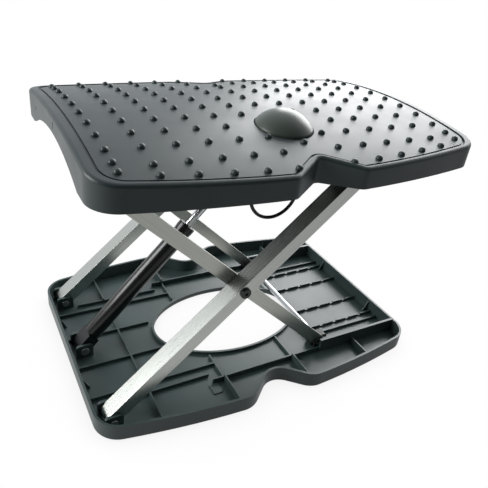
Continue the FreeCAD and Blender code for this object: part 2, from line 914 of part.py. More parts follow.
def nub_places():
    places = []
    half_columns = nub_columns // 2
    for column in range(-half_columns, half_columns + 1):
        x = column * nub_pitch_x
        rows = [i * nub_pitch_y for i in range(-nub_rows_each_side, nub_rows_each_side + 1)]
        if abs(column) == half_columns:
            outer = [nub_end_row_y, nub_corner_y]
        elif column == 0:
            outer = [half_depth - platform_notch_depth - nub_notch_inset]
        else:
            outer = [nub_outer_row_y, platform_plan.bow_depth(x) - nub_edge_inset]
        for y in rows + outer + [-y for y in outer]:
            from_button = hypot(x + platform_middle_x - button_x, y - button_y)
            if from_button > button_radius + nub_button_margin:
                places.append((x + platform_middle_x, y))
    return places


def platform_pads():
    pads = []
    x0 = pivot_x - ear_length / 2 - pad_margin
    pivot_pad = box(
        x0,
        x0 + pivot_bracket_length + 2 * pad_margin,
        -pivot_ear_out_y - pad_margin,
        -pivot_ear_in_y + pad_margin,
        bracket_top_z,
        crown_z,
    )
    rail_pad = box(
        rail_start_x,
        rail_end_x + 2,
        -rail_plate_y - pad_margin,
        -rail_plate_y + rail_flange_width + pad_margin,
        bracket_top_z,
        crown_z,
    )
    pads.extend(both_sides(pivot_pad))
    pads.extend(both_sides(rail_pad))
    x0 = gas_bracket_x - pad_margin
    pads.append(
        box(
            x0, x0 + gas_bracket_length + 2 * pad_margin, gas_y - 14, gas_y + 14, bracket_top_z, crown_z
        )
    )
    return pads


pivot_ear_out_y = inner_arm_outer_y + side_clearance + pivot_ear_thickness
pivot_ear_in_y = inner_arm_inner_y - side_clearance - pivot_ear_thickness
rail_plate_y = outer_arm_inner_y - side_clearance - rail_block_width / 2 + rail_sheet / 2
gas_bracket_x = gas_top_x - 22.0

# The button stands square to the arched surface
button_tilt = degrees(asin(button_y / arch_radius))
button_z = surface_z(button_y)


def at_button(shape):
    shape = shape.copy()
    shape.rotate(V(0, 0, 0), V(1, 0, 0), -button_tilt)
    shape.translate(V(button_x, button_y, button_z))
    return shape


def platform_shell():
    top = crown_z + 5
    outer = platform_plan.solid(wall_bottom_z, top).common(arch(arch_radius, -300, 300))
    inner = platform_plan.inset(wall_thickness, wall_bottom_z - 1, top).common(
        arch(arch_radius - shell_thickness, -300, 300)
    )
    upper = [
        e
        for e in outer.Edges
        if e.BoundBox.ZMin > wall_bottom_z + 5
        and e.BoundBox.ZLength < top_above_pivot
        and e.BoundBox.DiagonalLength > 1
    ]
    rim = []
    for edge in upper:
        middle = edge.valueAt((edge.FirstParameter + edge.LastParameter) / 2)
        if abs(middle.z - surface_z(middle.y)) < 0.05:
            rim.append(edge)
    outer = outer.makeFillet(rim_edge_radius, rim)
    field = field_plan.inset(field_inset, wall_bottom_z, top)
    field_cut = field.cut(arch(arch_radius - field_depth, -301, 301))
    groove_outer = field_plan.inset(field_inset, wall_bottom_z, top)
    groove_inner = field_plan.inset(field_inset + groove_width, wall_bottom_z - 1, top + 1)
    groove = groove_outer.cut(groove_inner).cut(arch(arch_radius - groove_depth, -301, 301))
    shell = outer.cut(field_cut).cut(groove)
    under = arch(arch_radius - shell_thickness + 0.5, -300, 300)
    pads = [pad.common(under) for pad in platform_pads()]
    arch_r = (side_arch_half_width**2 + side_arch_height**2) / (2 * side_arch_height)
    side_cut = Part.makeCylinder(
        arch_r, 620, V(-310, 0, wall_bottom_z + side_arch_height - arch_r), V(1, 0, 0)
    )
    shell = shell.cut(inner)
    shell = shell.cut(
        side_cut.common(
            box(-310, 310, -150, 150, wall_bottom_z - 5, wall_bottom_z + side_arch_height + 1)
        )
    )
    sleeve_radius = button_radius + button_gap
    sleeve = at_button(
        Part.makeCylinder(sleeve_radius + sleeve_wall, sleeve_depth, V(0, 0, -sleeve_depth), V(0, 0, 1))
    )
    sleeve = sleeve.common(arch(arch_radius - field_depth - 0.2, -100, 100))
    opening = at_button(
        Part.makeCylinder(sleeve_radius, sleeve_depth + 12, V(0, 0, -sleeve_depth - 2), V(0, 0, 1))
    )
    shell = shell.fuse(pads + [sleeve])
    nubs = [nub(x, y) for x, y in nub_places()]
    shell = shell.fuse(nubs)
    shell = shell.cut(opening)
    holes = wall_slots()
    for x, y in pad_screw_places():
        holes.append(rod_z(x, y, pad_screw_radius, bracket_top_z - 1, bracket_top_z + 3.2))
    return shell.cut(holes)


# Two small upright slots in the outside of the wall at the hinged end
def wall_slots():
    x = platform_middle_x - platform_half
    slots = []
    for y, low, high in ((-8.0, 27.2, 34.0), (80.7, 18.2, 22.2)):
        y0 = y - wall_slot_width / 2
        z0 = wall_bottom_z + low
        slots.append(
            box(x - 1, x + wall_slot_depth, y0, y0 + wall_slot_width, z0, wall_bottom_z + high)
        )
    return slots


def pad_screw_places():
    pivot_screws = [pivot_x + 18, pivot_x + 29]
    rail_screws = [rail_start_x + 10, (rail_start_x + rail_end_x) / 2, rail_end_x - 10]
    pivot_screw_y = (pivot_ear_out_y + pivot_ear_in_y) / 2
    rail_screw_y = rail_plate_y - rail_flange_width / 2 - 1
    places = []
    for side in (-1, 1):
        places.extend([(x, side * pivot_screw_y) for x in pivot_screws])
        places.extend([(x, side * rail_screw_y) for x in rail_screws])
    places.extend([(gas_bracket_x + 42, gas_y), (gas_bracket_x + 56, gas_y)])
    return places


save("platform_shell", [platform_shell()])

# Brackets under the platform
sheet_low = bracket_top_z - bracket_sheet
pivot_bracket_x = pivot_x - ear_length / 2
ear_out = box(
    pivot_bracket_x,
    pivot_bracket_x + ear_length,
    -pivot_ear_out_y,
    -pivot_ear_out_y + pivot_ear_thickness,
    top_pivot_z - bracket_ear_drop,
    sheet_low,
)
ear_in = box(
    pivot_bracket_x,
    pivot_bracket_x + ear_length,
    -pivot_ear_in_y - pivot_ear_thickness,
    -pivot_ear_in_y,
    top_pivot_z - bracket_ear_drop,
    sheet_low,
)
web = box(
    pivot_bracket_x,
    pivot_bracket_x + pivot_bracket_length,
    -pivot_ear_out_y,
    -pivot_ear_in_y,
    sheet_low,
    bracket_top_z - 0.02,
)
ear_pin_hole = rod_y(pivot_x, top_pivot_z, base_pin_radius, -pivot_ear_out_y - 1, -pivot_ear_in_y + 1)
pivot_screws = [
    rod_z(
        pivot_x + dx,
        -(pivot_ear_out_y + pivot_ear_in_y) / 2,
        pad_screw_radius,
        sheet_low - 1,
        bracket_top_z + 1,
    )
    for dx in (18, 29)
]


def rounded_ear(plate):
    low = plate.BoundBox.ZMin
    bottom = [e for e in plate.Edges if abs(e.BoundBox.ZMax - low) < 0.01 and e.BoundBox.YLength > 1]
    return plate.makeFillet(bracket_corner_radius, bottom)


pivot_bracket = web.fuse(
    [rounded_ear(ear_out), rounded_ear(ear_in)]
).removeSplitter().cut([ear_pin_hole] + pivot_screws)
save("pivot_bracket_front", [pivot_bracket])
save("pivot_bracket_back", [to_back(pivot_bracket)])
top_pin = headed_pin(
    pivot_x,
    top_pivot_z,
    base_pin_radius - 0.02,
    -pivot_ear_out_y,
    -pivot_ear_in_y,
    base_pin_head_radius,
    base_pin_head_height,
)
save("top_pivot_pins", both_sides(top_pin))

slot_half = block_half + side_clearance
rail_plate = box(
    rail_start_x,
    rail_end_x,
    -rail_plate_y,
    -rail_plate_y + rail_sheet,
    top_pivot_z - rail_drop,
    sheet_low,
)
slot_x0 = slide_x - rail_block_length / 2 - 2
slot_x1 = slide_x_low + rail_block_length / 2 + 2
slot = box(
    slot_x0,
    slot_x1,
    -rail_plate_y - 1,
    -rail_plate_y + rail_sheet + 1,
    top_pivot_z - slot_half,
    top_pivot_z + slot_half,
)
flange = box(
    rail_start_x,
    rail_end_x,
    -rail_plate_y,
    -rail_plate_y + rail_flange_width,
    sheet_low,
    bracket_top_z - 0.02,
)
rail_screw_y = -rail_plate_y + rail_flange_width / 2 + 1
rail_holes = []
for x in (rail_start_x + 10, (rail_start_x + rail_end_x) / 2, rail_end_x - 10):
    rail_holes.append(rod_z(x, rail_screw_y, pad_screw_radius, sheet_low - 1, bracket_top_z + 1))
rail = rail_plate.fuse(flange).removeSplitter().cut([slot] + rail_holes)
save("guide_rail_front", [rail])
save("guide_rail_back", [to_back(rail)])

gas_ear_in = half_head + side_clearance
gas_web = box(
    gas_bracket_x,
    gas_bracket_x + gas_bracket_length,
    gas_y - gas_ear_in - bracket_sheet,
    gas_y + gas_ear_in + bracket_sheet,
    sheet_low,
    bracket_top_z - 0.02,
)
gas_ears = []
for y0 in (gas_y - gas_ear_in - bracket_sheet, gas_y + gas_ear_in):
    plate = box(
        gas_bracket_x,
        gas_bracket_x + gas_bracket_length,
        y0,
        y0 + bracket_sheet,
        gas_top_z - gas_bracket_drop,
        sheet_low,
    )
    gas_ears.append(rounded_ear(plate))
cable_plate = box(
    gas_bracket_x - 3,
    gas_bracket_x,
    gas_y - gas_ear_in - bracket_sheet,
    gas_y + gas_ear_in + bracket_sheet,
    cable_run_z - 6,
    bracket_top_z - 0.02,
)
cable_hole = Part.makeCylinder(
    cable_radius + 0.3, 10, V(gas_bracket_x - 6, gas_y, cable_run_z), V(1, 0, 0)
)
gas_bracket_holes = [
    rod_z(gas_bracket_x + dx, gas_y, pad_screw_radius, sheet_low - 1, bracket_top_z + 1)
    for dx in (42, 56)
]
gas_bracket = gas_web.fuse(gas_ears + [cable_plate]).removeSplitter().cut(
    [cable_hole] + gas_bracket_holes
)
save("gas_upper_bracket", [gas_bracket])

rivets = []
for y0 in (gas_y - gas_ear_in - bracket_sheet - 2.0, gas_y + gas_ear_in + bracket_sheet):
    rivets.append(rod_y(gas_top_x, gas_top_z, 5.5, y0, y0 + 2.0))
save("gas_bracket_rivets", rivets)

pad_screws = []
for x, y in pad_screw_places():
    shank = rod_z(x, y, pad_screw_radius - 0.05, sheet_low, bracket_top_z + 3.0)
    cap = rod_z(x, y, pad_screw_head_radius, sheet_low - pad_screw_head_height, sheet_low)
    pad_screws.append(shank.fuse(cap))
save("bracket_screws", pad_screws)


# Foot button, with a dome, a short skirt and posts below
def button_shape():
    sphere_radius = (button_radius**2 + button_dome_height**2) / (2 * button_dome_height)
    dome = Part.makeSphere(sphere_radius, V(0, 0, button_dome_height - sphere_radius))
    blank = Part.makeCylinder(
        button_radius, button_skirt + button_dome_height + 1, V(0, 0, -button_skirt), V(0, 0, 1)
    )
    above = 2 * button_dome_height
    keep = dome.common(Part.makeCylinder(button_radius, above, V(0, 0, -0.001), V(0, 0, 1)))
    outer = Part.makeCylinder(
        button_radius, button_skirt, V(0, 0, -button_skirt), V(0, 0, 1)
    ).fuse(keep).removeSplitter()
    inside_radius = button_radius - button_wall
    inner_dome = Part.makeSphere(
        sphere_radius - button_wall, V(0, 0, button_dome_height - sphere_radius)
    )
    inside = Part.makeCylinder(
        inside_radius, button_skirt + 0.5, V(0, 0, -button_skirt - 0.5), V(0, 0, 1)
    )
    inside = inside.fuse(
        inner_dome.common(Part.makeCylinder(inside_radius, above, V(0, 0, -0.001), V(0, 0, 1)))
    )
    shape = outer.cut(inside)
    roof = Part.makeSphere(
        sphere_radius - button_wall / 2, V(0, 0, button_dome_height - sphere_radius)
    )
    turn = radians(lever_turn)
    px = lever_post_reach * sin(turn)
    py = -lever_post_reach * cos(turn)
    post_low = button_post_end - button_post_radius
    post = Part.makeCylinder(
        button_post_radius, post_low + button_dome_height, V(px, py, -post_low), V(0, 0, 1)
    ).common(roof)
    tip = Part.makeSphere(button_post_radius, V(px, py, -post_low))
    bosses = [post.fuse(tip)]
    for sx in (-1, 1):
        bosses.append(
            Part.makeCylinder(
                spring_radius + 1,
                spring_boss_depth + button_dome_height,
                V(sx * spring_offset_x, spring_offset_y, -spring_boss_depth),
                V(0, 0, 1),
            ).common(roof)
        )
    return at_button(shape.fuse(bosses).removeSplitter())


save("foot_button", [button_shape()])

housing_radius = button_radius + button_gap + sleeve_wall + side_clearance
housing_floor_top = -housing_floor_depth + housing_floor_thickness
turn = radians(lever_turn)


def lever_frame(shape):
    shape = shape.copy()
    shape.rotate(V(0, 0, 0), V(0, 0, 1), lever_turn)
    return at_button(shape)


def housing_shape():
    cup = Part.makeCylinder(
        housing_radius + housing_wall,
        housing_floor_depth - housing_top_depth,
        V(0, 0, -housing_floor_depth),
        V(0, 0, 1),
    )
    cup = cup.cut(
        Part.makeCylinder(housing_radius, housing_floor_depth, V(0, 0, housing_floor_top), V(0, 0, 1))
    )
    ears = []
    for x0 in (
        -lever_width / 2 - side_clearance - lever_ear_thickness, lever_width / 2 + side_clearance
    ):
        ears.append(
            box(
                x0,
                x0 + lever_ear_thickness,
                -lever_pivot_reach - 4,
                -lever_pivot_reach + 4,
                housing_floor_top - 0.2,
                -lever_depth + lever_thickness / 2 + 2.5,
            )
        )
    pin_hole = Part.makeCylinder(
        lever_pin_radius, 30, V(-15, -lever_pivot_reach, -lever_depth), V(1, 0, 0)
    )
    cable_hole = Part.makeCylinder(
        cable_hole_radius, 10, V(0, -lever_nipple_reach, -housing_floor_depth - 3), V(0, 0, 1)
    )
    body = cup.fuse(ears).removeSplitter().cut([pin_hole, cable_hole])
    return lever_frame(body)


save("button_housing", [housing_shape()])

lever = box(
    -lever_width / 2,
    lever_width / 2,
    -lever_nipple_reach - lever_outer_margin,
    -lever_inner_end,
    -lever_depth - lever_thickness / 2,
    -lever_depth + lever_thickness / 2,
)
lever_hub = Part.makeCylinder(
    lever_hub_radius, lever_width, V(-lever_width / 2, -lever_pivot_reach, -lever_depth), V(1, 0, 0)
)
lever = lever.fuse(lever_hub).removeSplitter()
lever = lever.cut(
    Part.makeCylinder(
        lever_pin_radius + running_clearance, 30, V(-15, -lever_pivot_reach, -lever_depth), V(1, 0, 0)
    )
)
lever = lever.cut(Part.makeCylinder(1.2, 20, V(0, -lever_nipple_reach, -lever_depth - 10), V(0, 0, 1)))
save("release_lever", [lever_frame(lever)])
pin_half = lever_width / 2 + side_clearance + lever_ear_thickness
lever_pin = Part.makeCylinder(
    lever_pin_radius - 0.02, 2 * pin_half, V(-pin_half, -lever_pivot_reach, -lever_depth), V(1, 0, 0)
)
save("lever_pin", [lever_frame(lever_pin)])

nipple = Part.makeCylinder(
    2.4, 2.0, V(0, -lever_nipple_reach, -lever_depth + lever_thickness / 2), V(0, 0, 1)
)
wire_low = -housing_floor_depth
wire_high = -lever_depth + lever_thickness / 2 + 1
inner_wire = Part.makeCylinder(
    inner_wire_radius, wire_high - wire_low, V(0, -lever_nipple_reach, wire_low), V(0, 0, 1)
)
save("cable_inner_wire", [lever_frame(nipple.fuse(inner_wire))])


# Return springs of the button
def coil_spring(x, y, z0, z1):
    height = z1 - z0 - 2 * spring_wire_radius
    helix = Part.makeHelix(height / spring_turns, height, spring_radius - spring_wire_radius)
    helix.translate(V(0, 0, z0 + spring_wire_radius))
    start = V(spring_radius - spring_wire_radius, 0, z0 + spring_wire_radius)
    section = Part.Wire(Part.makeCircle(spring_wire_radius, start, V(0, 1, 0)))
    spring = Part.Wire(helix).makePipeShell([section], True, True)
    spring.translate(V(x, y, 0))
    return spring


springs = []
for sx in (-1, 1):
    springs.append(
        at_button(
            coil_spring(
                sx * spring_offset_x, spring_offset_y, housing_floor_top + 0.1, -spring_boss_depth - 0.1
            )
        )
    )
save("button_springs", springs)

# Release cable: from the housing down round a loop, up, and across to the gas spring's bracket
probe = lever_frame(Part.Vertex(V(0, -lever_nipple_reach, -housing_floor_depth)))
cable_start = probe.Vertexes[0].Point
right_x = cable_start.x
loop_y = cable_start.y
left_x = right_x - 2 * cable_loop_radius
ferrule_z = cable_start.z - 0.3
cable_top_z = ferrule_z - ferrule_length
cable_end_x = gas_bracket_x - 3 - ferrule_length - 0.3

loop_mid = V(right_x - cable_loop_radius, loop_y, cable_loop_centre_z - cable_loop_radius)
loop_right = V(right_x, loop_y, cable_loop_centre_z)
loop_left = V(left_x, loop_y, cable_loop_centre_z)
bend_low = V(left_x, loop_y, cable_run_z - cable_bend_radius)
bend_far = V(left_x, loop_y + cable_bend_radius, cable_run_z)
bend_mid = V(
    left_x,
    loop_y + cable_bend_radius * (1 - cos(pi / 4)),
    cable_run_z - cable_bend_radius * (1 - sin(pi / 4)),
)
turn_near = V(left_x, gas_y - cable_turn_radius, cable_run_z)
turn_far = V(left_x + cable_turn_radius, gas_y, cable_run_z)
turn_mid = V(
    left_x + cable_turn_radius * (1 - cos(pi / 4)),
    gas_y - cable_turn_radius * (1 - sin(pi / 4)),
    cable_run_z,
)
cable_pieces = [
    Part.LineSegment(V(right_x, loop_y, cable_top_z), loop_right).toShape(),
    Part.Arc(loop_right, loop_mid, loop_left).toShape(),
    Part.LineSegment(loop_left, bend_low).toShape(),
    Part.Arc(bend_low, bend_mid, bend_far).toShape(),
    Part.LineSegment(bend_far, turn_near).toShape(),
    Part.Arc(turn_near, turn_mid, turn_far).toShape(),
    Part.LineSegment(turn_far, V(cable_end_x, gas_y, cable_run_z)).toShape(),
]
cable_path = Part.Wire(cable_pieces)
cable_section = Part.Wire(Part.makeCircle(cable_radius, V(right_x, loop_y, cable_top_z), V(0, 0, 1)))
cable = cable_path.makePipeShell([cable_section], True, True)
save("release_cable", [cable])

ferrule_a = Part.makeCylinder(
    ferrule_radius, ferrule_length, V(right_x, loop_y, cable_top_z), V(0, 0, 1)
)
ferrule_b = Part.makeCylinder(
    ferrule_radius, ferrule_length, V(cable_end_x, gas_y, cable_run_z), V(1, 0, 0)
)
save("cable_ferrules", [ferrule_a, ferrule_b])

print(
    "cable length",
    round(cable_path.Length, 1),
    "volume ratio",
    round(cable.Volume / (pi * cable_radius**2 * cable_path.Length), 4),
)
print("cable bends", cable_loop_radius, cable_bend_radius, cable_turn_radius)
print(
    "slide travel",
    round(slide_x, 2),
    round(slide_x_low, 2),
    "top pivot",
    round(top_pivot_z, 2),
    "centre",
    round(centre_x, 2),
    round(centre_z, 2),
)
print("gas top", round(gas_top_x, 2), round(gas_top_z, 2), "length", round(gas_length, 2))
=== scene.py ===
"""Looks of a height-adjustable footrest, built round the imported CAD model.

Every piece is in metres, in the CAD frame: X along the long side, Y from front to back, Z up.
"""

import logging
from dataclasses import dataclass, field
from enum import Enum
from math import asin, cos, hypot, pi, radians, sin, sqrt

import bmesh
import bpy
from mathutils import Matrix, Vector


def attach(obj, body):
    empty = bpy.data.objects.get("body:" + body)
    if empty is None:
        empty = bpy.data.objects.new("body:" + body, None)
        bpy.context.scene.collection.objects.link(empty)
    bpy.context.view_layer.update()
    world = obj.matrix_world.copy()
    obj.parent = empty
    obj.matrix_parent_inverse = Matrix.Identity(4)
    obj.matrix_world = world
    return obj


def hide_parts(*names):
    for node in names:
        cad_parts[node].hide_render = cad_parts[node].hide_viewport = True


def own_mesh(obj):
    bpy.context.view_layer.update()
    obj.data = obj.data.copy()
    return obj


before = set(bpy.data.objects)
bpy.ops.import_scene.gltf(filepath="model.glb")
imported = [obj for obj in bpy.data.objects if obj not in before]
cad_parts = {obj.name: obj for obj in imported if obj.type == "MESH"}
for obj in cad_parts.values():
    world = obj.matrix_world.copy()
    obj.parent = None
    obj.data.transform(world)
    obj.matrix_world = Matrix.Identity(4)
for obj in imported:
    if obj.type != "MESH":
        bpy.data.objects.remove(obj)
log = logging.getLogger("footrest")

MM = 0.001


class Body(str, Enum):
    """Moving bodies of the footrest, by their names in the record."""

    BASE = "base"
    OUTER_ARMS = "outer_arms"
    INNER_ARMS = "inner_arms"
    PLATFORM = "platform"
    LOWER_SHOES = "lower_shoes"
    UPPER_BLOCKS = "upper_blocks"
    GAS_TUBE = "gas_tube"
    GAS_RAM = "gas_ram"
    BUTTON = "button"
    LEVER = "lever"


class Slot(str, Enum):
    """Material slots of the record, by name."""

    BASE_PLASTIC = "base_plastic"
    PLATFORM_PLASTIC = "platform_plastic"
    FOOT_RUBBER = "foot_rubber"
    BRUSHED_ALUMINIUM = "brushed_aluminium"
    BLACK_STEEL = "black_steel"
    CHROMED_STEEL = "chromed_steel"
    BRIGHT_STEEL = "bright_steel"
    BRACKET_STEEL = "bracket_steel"
    SLIDER_PLASTIC = "slider_plastic"
    BUTTON_PLASTIC = "button_plastic"
    CABLE_JACKET = "cable_jacket"


def linear(code: str) -> tuple[float, float, float, float]:
    """Turns an sRGB hex colour into linear RGBA.

    Args:
        code: Colour as "#rrggbb".

    Returns:
        Red, green, blue and an alpha of 1.
    """
    parts = [int(code[i : i + 2], 16) / 255 for i in (1, 3, 5)]
    red, green, blue = (p / 12.92 if p <= 0.04045 else ((p + 0.055) / 1.055) ** 2.4 for p in parts)
    return (red, green, blue, 1.0)


def add_node(
    tree: bpy.types.NodeTree, kind: str, settings: dict[str, object], inputs: dict[object, object]
) -> bpy.types.Node:
    """Adds a node with its settings, values and links.

    Args:
        tree: Shader or geometry node tree.
        kind: Blender's type name of the node.
        settings: Attributes to set on the node.
        inputs: Input socket by name or number, with a value or the socket to link from.

    Returns:
        The new node.
    """
    node = tree.nodes.new(kind)
    for name, value in settings.items():
        setattr(node, name, value)
    for key, value in inputs.items():
        socket = node.inputs[key]
        if isinstance(value, bpy.types.NodeSocket):
            tree.links.new(value, socket)
        else:
            socket.default_value = value
    return node


@dataclass(frozen=True)
class Finish:
    """A finish of the real object, with the numbers that every shader here needs."""

    name: str
    colour: str
    roughness: float

    def begin(
        self,
    ) -> tuple[bpy.types.Material, bpy.types.NodeTree, bpy.types.Node, bpy.types.NodeSocket]:
        """Starts a material.

        Returns:
            The material, its tree, its Principled node and the object coordinates.
        """
        material = bpy.data.materials.new(self.name)
        material.use_nodes = True
        tree = material.node_tree
        tree.nodes.clear()
        shader = add_node(
            tree,
            "ShaderNodeBsdfPrincipled",
            {},
            {"Base Color": linear(self.colour), "Roughness": self.roughness},
        )
        add_node(tree, "ShaderNodeOutputMaterial", {}, {"Surface": shader.outputs[0]})
        place = add_node(tree, "ShaderNodeTexCoord", {}, {})
        return material, tree, shader, place.outputs["Object"]

    def vary(
        self,
        tree: bpy.types.NodeTree,
        shader: bpy.types.Node,
        pattern: bpy.types.NodeSocket,
        roughness_swing: float,
        colour_swing: float,
    ) -> None:
        """Lets a pattern move the roughness and the colour a little.

        Args:
            tree: The material's tree.
            shader: Its Principled node.
            pattern: A value from 0 to 1.
            roughness_swing: How far the roughness moves either way.
            colour_swing: How far the colour's value moves either way, as a share.
        """
        rough = add_node(
            tree,
            "ShaderNodeMapRange",
            {},
            {
                "Value": pattern,
                "From Min": 0.3,
                "From Max": 0.7,
                "To Min": self.roughness - roughness_swing,
                "To Max": self.roughness + roughness_swing,
            },
        )
        tree.links.new(rough.outputs[0], shader.inputs["Roughness"])
        value = add_node(
            tree,
            "ShaderNodeMapRange",
            {},
            {
                "Value": pattern,
                "From Min": 0.3,
                "From Max": 0.7,
                "To Min": 1 + colour_swing,
                "To Max": 1 - colour_swing,
            },
        )
        tone = add_node(
            tree,
            "ShaderNodeHueSaturation",
            {},
            {"Value": value.outputs[0], "Color": linear(self.colour)},
        )
        tree.links.new(tone.outputs[0], shader.inputs["Base Color"])

    def noise(
        self, tree: bpy.types.NodeTree, place: bpy.types.NodeSocket, size_mm: float, detail: float = 2.0
    ) -> bpy.types.NodeSocket:
        """Adds a noise whose blobs have a real size.

        Args:
            tree: The material's tree.
            place: Coordinates in metres.
            size_mm: Size of one blob in millimetres.
            detail: Octaves of finer noise.

        Returns:
            The noise value, from 0 to 1.
        """
        node = add_node(
            tree, "ShaderNodeTexNoise", {}, {"Vector": place, "Scale": 1000 / size_mm, "Detail": detail}
        )
        return node.outputs[0]

    def bump(
        self,
        tree: bpy.types.NodeTree,
        shader: bpy.types.Node,
        height: bpy.types.NodeSocket,
        depth_mm: float,
        strength: float,
    ) -> None:
        """Feeds a height pattern into the shader's normal.

        Args:
            tree: The material's tree.
            shader: Its Principled node.
            height: Height pattern from 0 to 1.
            depth_mm: Depth of the pattern in millimetres.
            strength: Share of the pattern that shows.
        """
        node = add_node(
            tree,
            "ShaderNodeBump",
            {},
            {"Height": height, "Distance": depth_mm * MM, "Strength": strength},
        )
        tree.links.new(node.outputs[0], shader.inputs["Normal"])

    def build(self) -> bpy.types.Material:
        """Builds the material; each kind of finish has its own."""
        raise NotImplementedError


@dataclass(frozen=True)
class MouldedPlastic(Finish):
    """Injection-moulded ABS. A fine spark-eroded grain breaks its sheen into a soft, even satin."""

    grain_mm: float = 1.1
    grain_depth_mm: float = 0.035
    coat: float = 0.0

    def build(self) -> bpy.types.Material:
        """Builds the moulded plastic.

        Returns:
            The material.
        """
        material, tree, shader, place = self.begin()
        shader.inputs["IOR"].default_value = 1.53
        shader.inputs["Coat Weight"].default_value = self.coat
        shader.inputs["Coat Roughness"].default_value = 0.2
        # flow of the melt: wide, barely visible changes in sheen
        flow = self.noise(tree, place, 55.0)
        self.vary(tree, shader, flow, 0.035, 0.06)
        # the real grain is about 0.2 mm; drawn coarser so that it shows at this distance
        grain = self.noise(tree, place, self.grain_mm, 3.0)
        self.bump(tree, shader, grain, self.grain_depth_mm, 0.5)
        return material


@dataclass(frozen=True)
class BrushedAluminium(Finish):
    """Extruded aluminium, brushed lengthwise and clear anodised.

    Its long fine streaks smear the light across the arm.
    """

    turn_degrees: float = 0.0
    streak_mm: float = 0.9
    streak_length_mm: float = 90.0

    def build(self) -> bpy.types.Material:
        """Builds the brushed metal, its streaks turned along the arm.

        Returns:
            The material.
        """
        material, tree, shader, place = self.begin()
        shader.inputs["Metallic"].default_value = 1.0
        turned = add_node(
            tree,
            "ShaderNodeMapping",
            {},
            {"Vector": place, "Rotation": (0.0, radians(self.turn_degrees), 0.0)},
        )
        stretched = add_node(
            tree,
            "ShaderNodeMapping",
            {},
            {"Vector": turned.outputs[0], "Scale": (self.streak_mm / self.streak_length_mm, 1.0, 1.0)},
        )
        # real streaks are about 0.1 mm wide; drawn wider so that they show
        streaks = self.noise(tree, stretched.outputs[0], self.streak_mm, 3.0)
        self.vary(tree, shader, streaks, 0.04, 0.04)
        self.bump(tree, shader, streaks, 0.008, 0.25)
        return material


@dataclass(frozen=True)
class PlatedSteel(Finish):
    """Plated steel: metal with a faint cloudiness that the bath leaves."""

    metallic: float = 1.0
    cloud_mm: float = 7.0
    roughness_swing: float = 0.05

    def build(self) -> bpy.types.Material:
        """Builds the plated metal.

        Returns:
            The material.
        """
        material, tree, shader, place = self.begin()
        shader.inputs["Metallic"].default_value = self.metallic
        clouds = self.noise(tree, place, self.cloud_mm)
        self.vary(tree, shader, clouds, self.roughness_swing, 0.08)
        scratches = self.noise(tree, place, 0.8, 2.0)
        self.bump(tree, shader, scratches, 0.004, 0.1)
        return material


@dataclass(frozen=True)
class GlossPaint(Finish):
    """Stoved black paint on a steel tube: a deep gloss with the slight waviness of sprayed paint."""

    wave_mm: float = 3.0

    def build(self) -> bpy.types.Material:
        """Builds the paint.

        Returns:
            The material.
        """
        material, tree, shader, place = self.begin()
        shader.inputs["Coat Weight"].default_value = 0.3
        shader.inputs["Coat Roughness"].default_value = 0.12
        dust = self.noise(tree, place, 14.0)
        self.vary(tree, shader, dust, 0.03, 0.10)
        peel = self.noise(tree, place, self.wave_mm, 1.0)
        self.bump(tree, shader, peel, 0.02, 0.25)
        return material


@dataclass(frozen=True)
class Elastomer(Finish):
    """Soft rubber or a PVC jacket: matt, with small pits and an uneven dull sheen."""

    pit_mm: float = 0.9
    pit_depth_mm: float = 0.05

    def build(self) -> bpy.types.Material:
        """Builds the rubbery material.

        Returns:
            The material.
        """
        material, tree, shader, place = self.begin()
        shader.inputs["Sheen Weight"].default_value = 0.08
        patches = self.noise(tree, place, 9.0)
        self.vary(tree, shader, patches, 0.06, 0.12)
        pits = self.noise(tree, place, self.pit_mm, 2.0)
        self.bump(tree, shader, pits, self.pit_depth_mm, 0.4)
        return material


@dataclass(frozen=True)
class FinishSet:
    """Every finish of the footrest, named for the real material."""

    base: Finish = MouldedPlastic("dark_grey_abs_base", "#3f4e4d", 0.34)
    platform: Finish = MouldedPlastic("dark_grey_abs_platform", "#313d3e", 0.41)
    button: Finish = MouldedPlastic("satin_abs_button", "#465048", 0.36, grain_depth_mm=0.01, coat=0.1)
    acetal: Finish = MouldedPlastic("black_acetal", "#17191a", 0.45, grain_depth_mm=0.02)
    rubber: Finish = Elastomer("moulded_rubber", "#191a1b", 0.8)
    jacket: Finish = Elastomer("pvc_cable_jacket", "#0d0e0f", 0.35, pit_depth_mm=0.01)
    rising: Finish = BrushedAluminium("brushed_aluminium_rising", "#cdd0cb", 0.29, turn_degrees=42.4)
    falling: Finish = BrushedAluminium("brushed_aluminium_falling", "#c6c8c1", 0.31, turn_degrees=-42.4)
    chrome: Finish = PlatedSteel("hard_chrome", "#dfe2e4", 0.17, roughness_swing=0.02)
    zinc: Finish = PlatedSteel("zinc_plated_steel", "#b9bcb9", 0.34)
    black_zinc: Finish = PlatedSteel("black_zinc_steel", "#2b2d2f", 0.42, metallic=0.7)
    paint: Finish = GlossPaint("stoved_black_paint", "#08090a", 0.30)


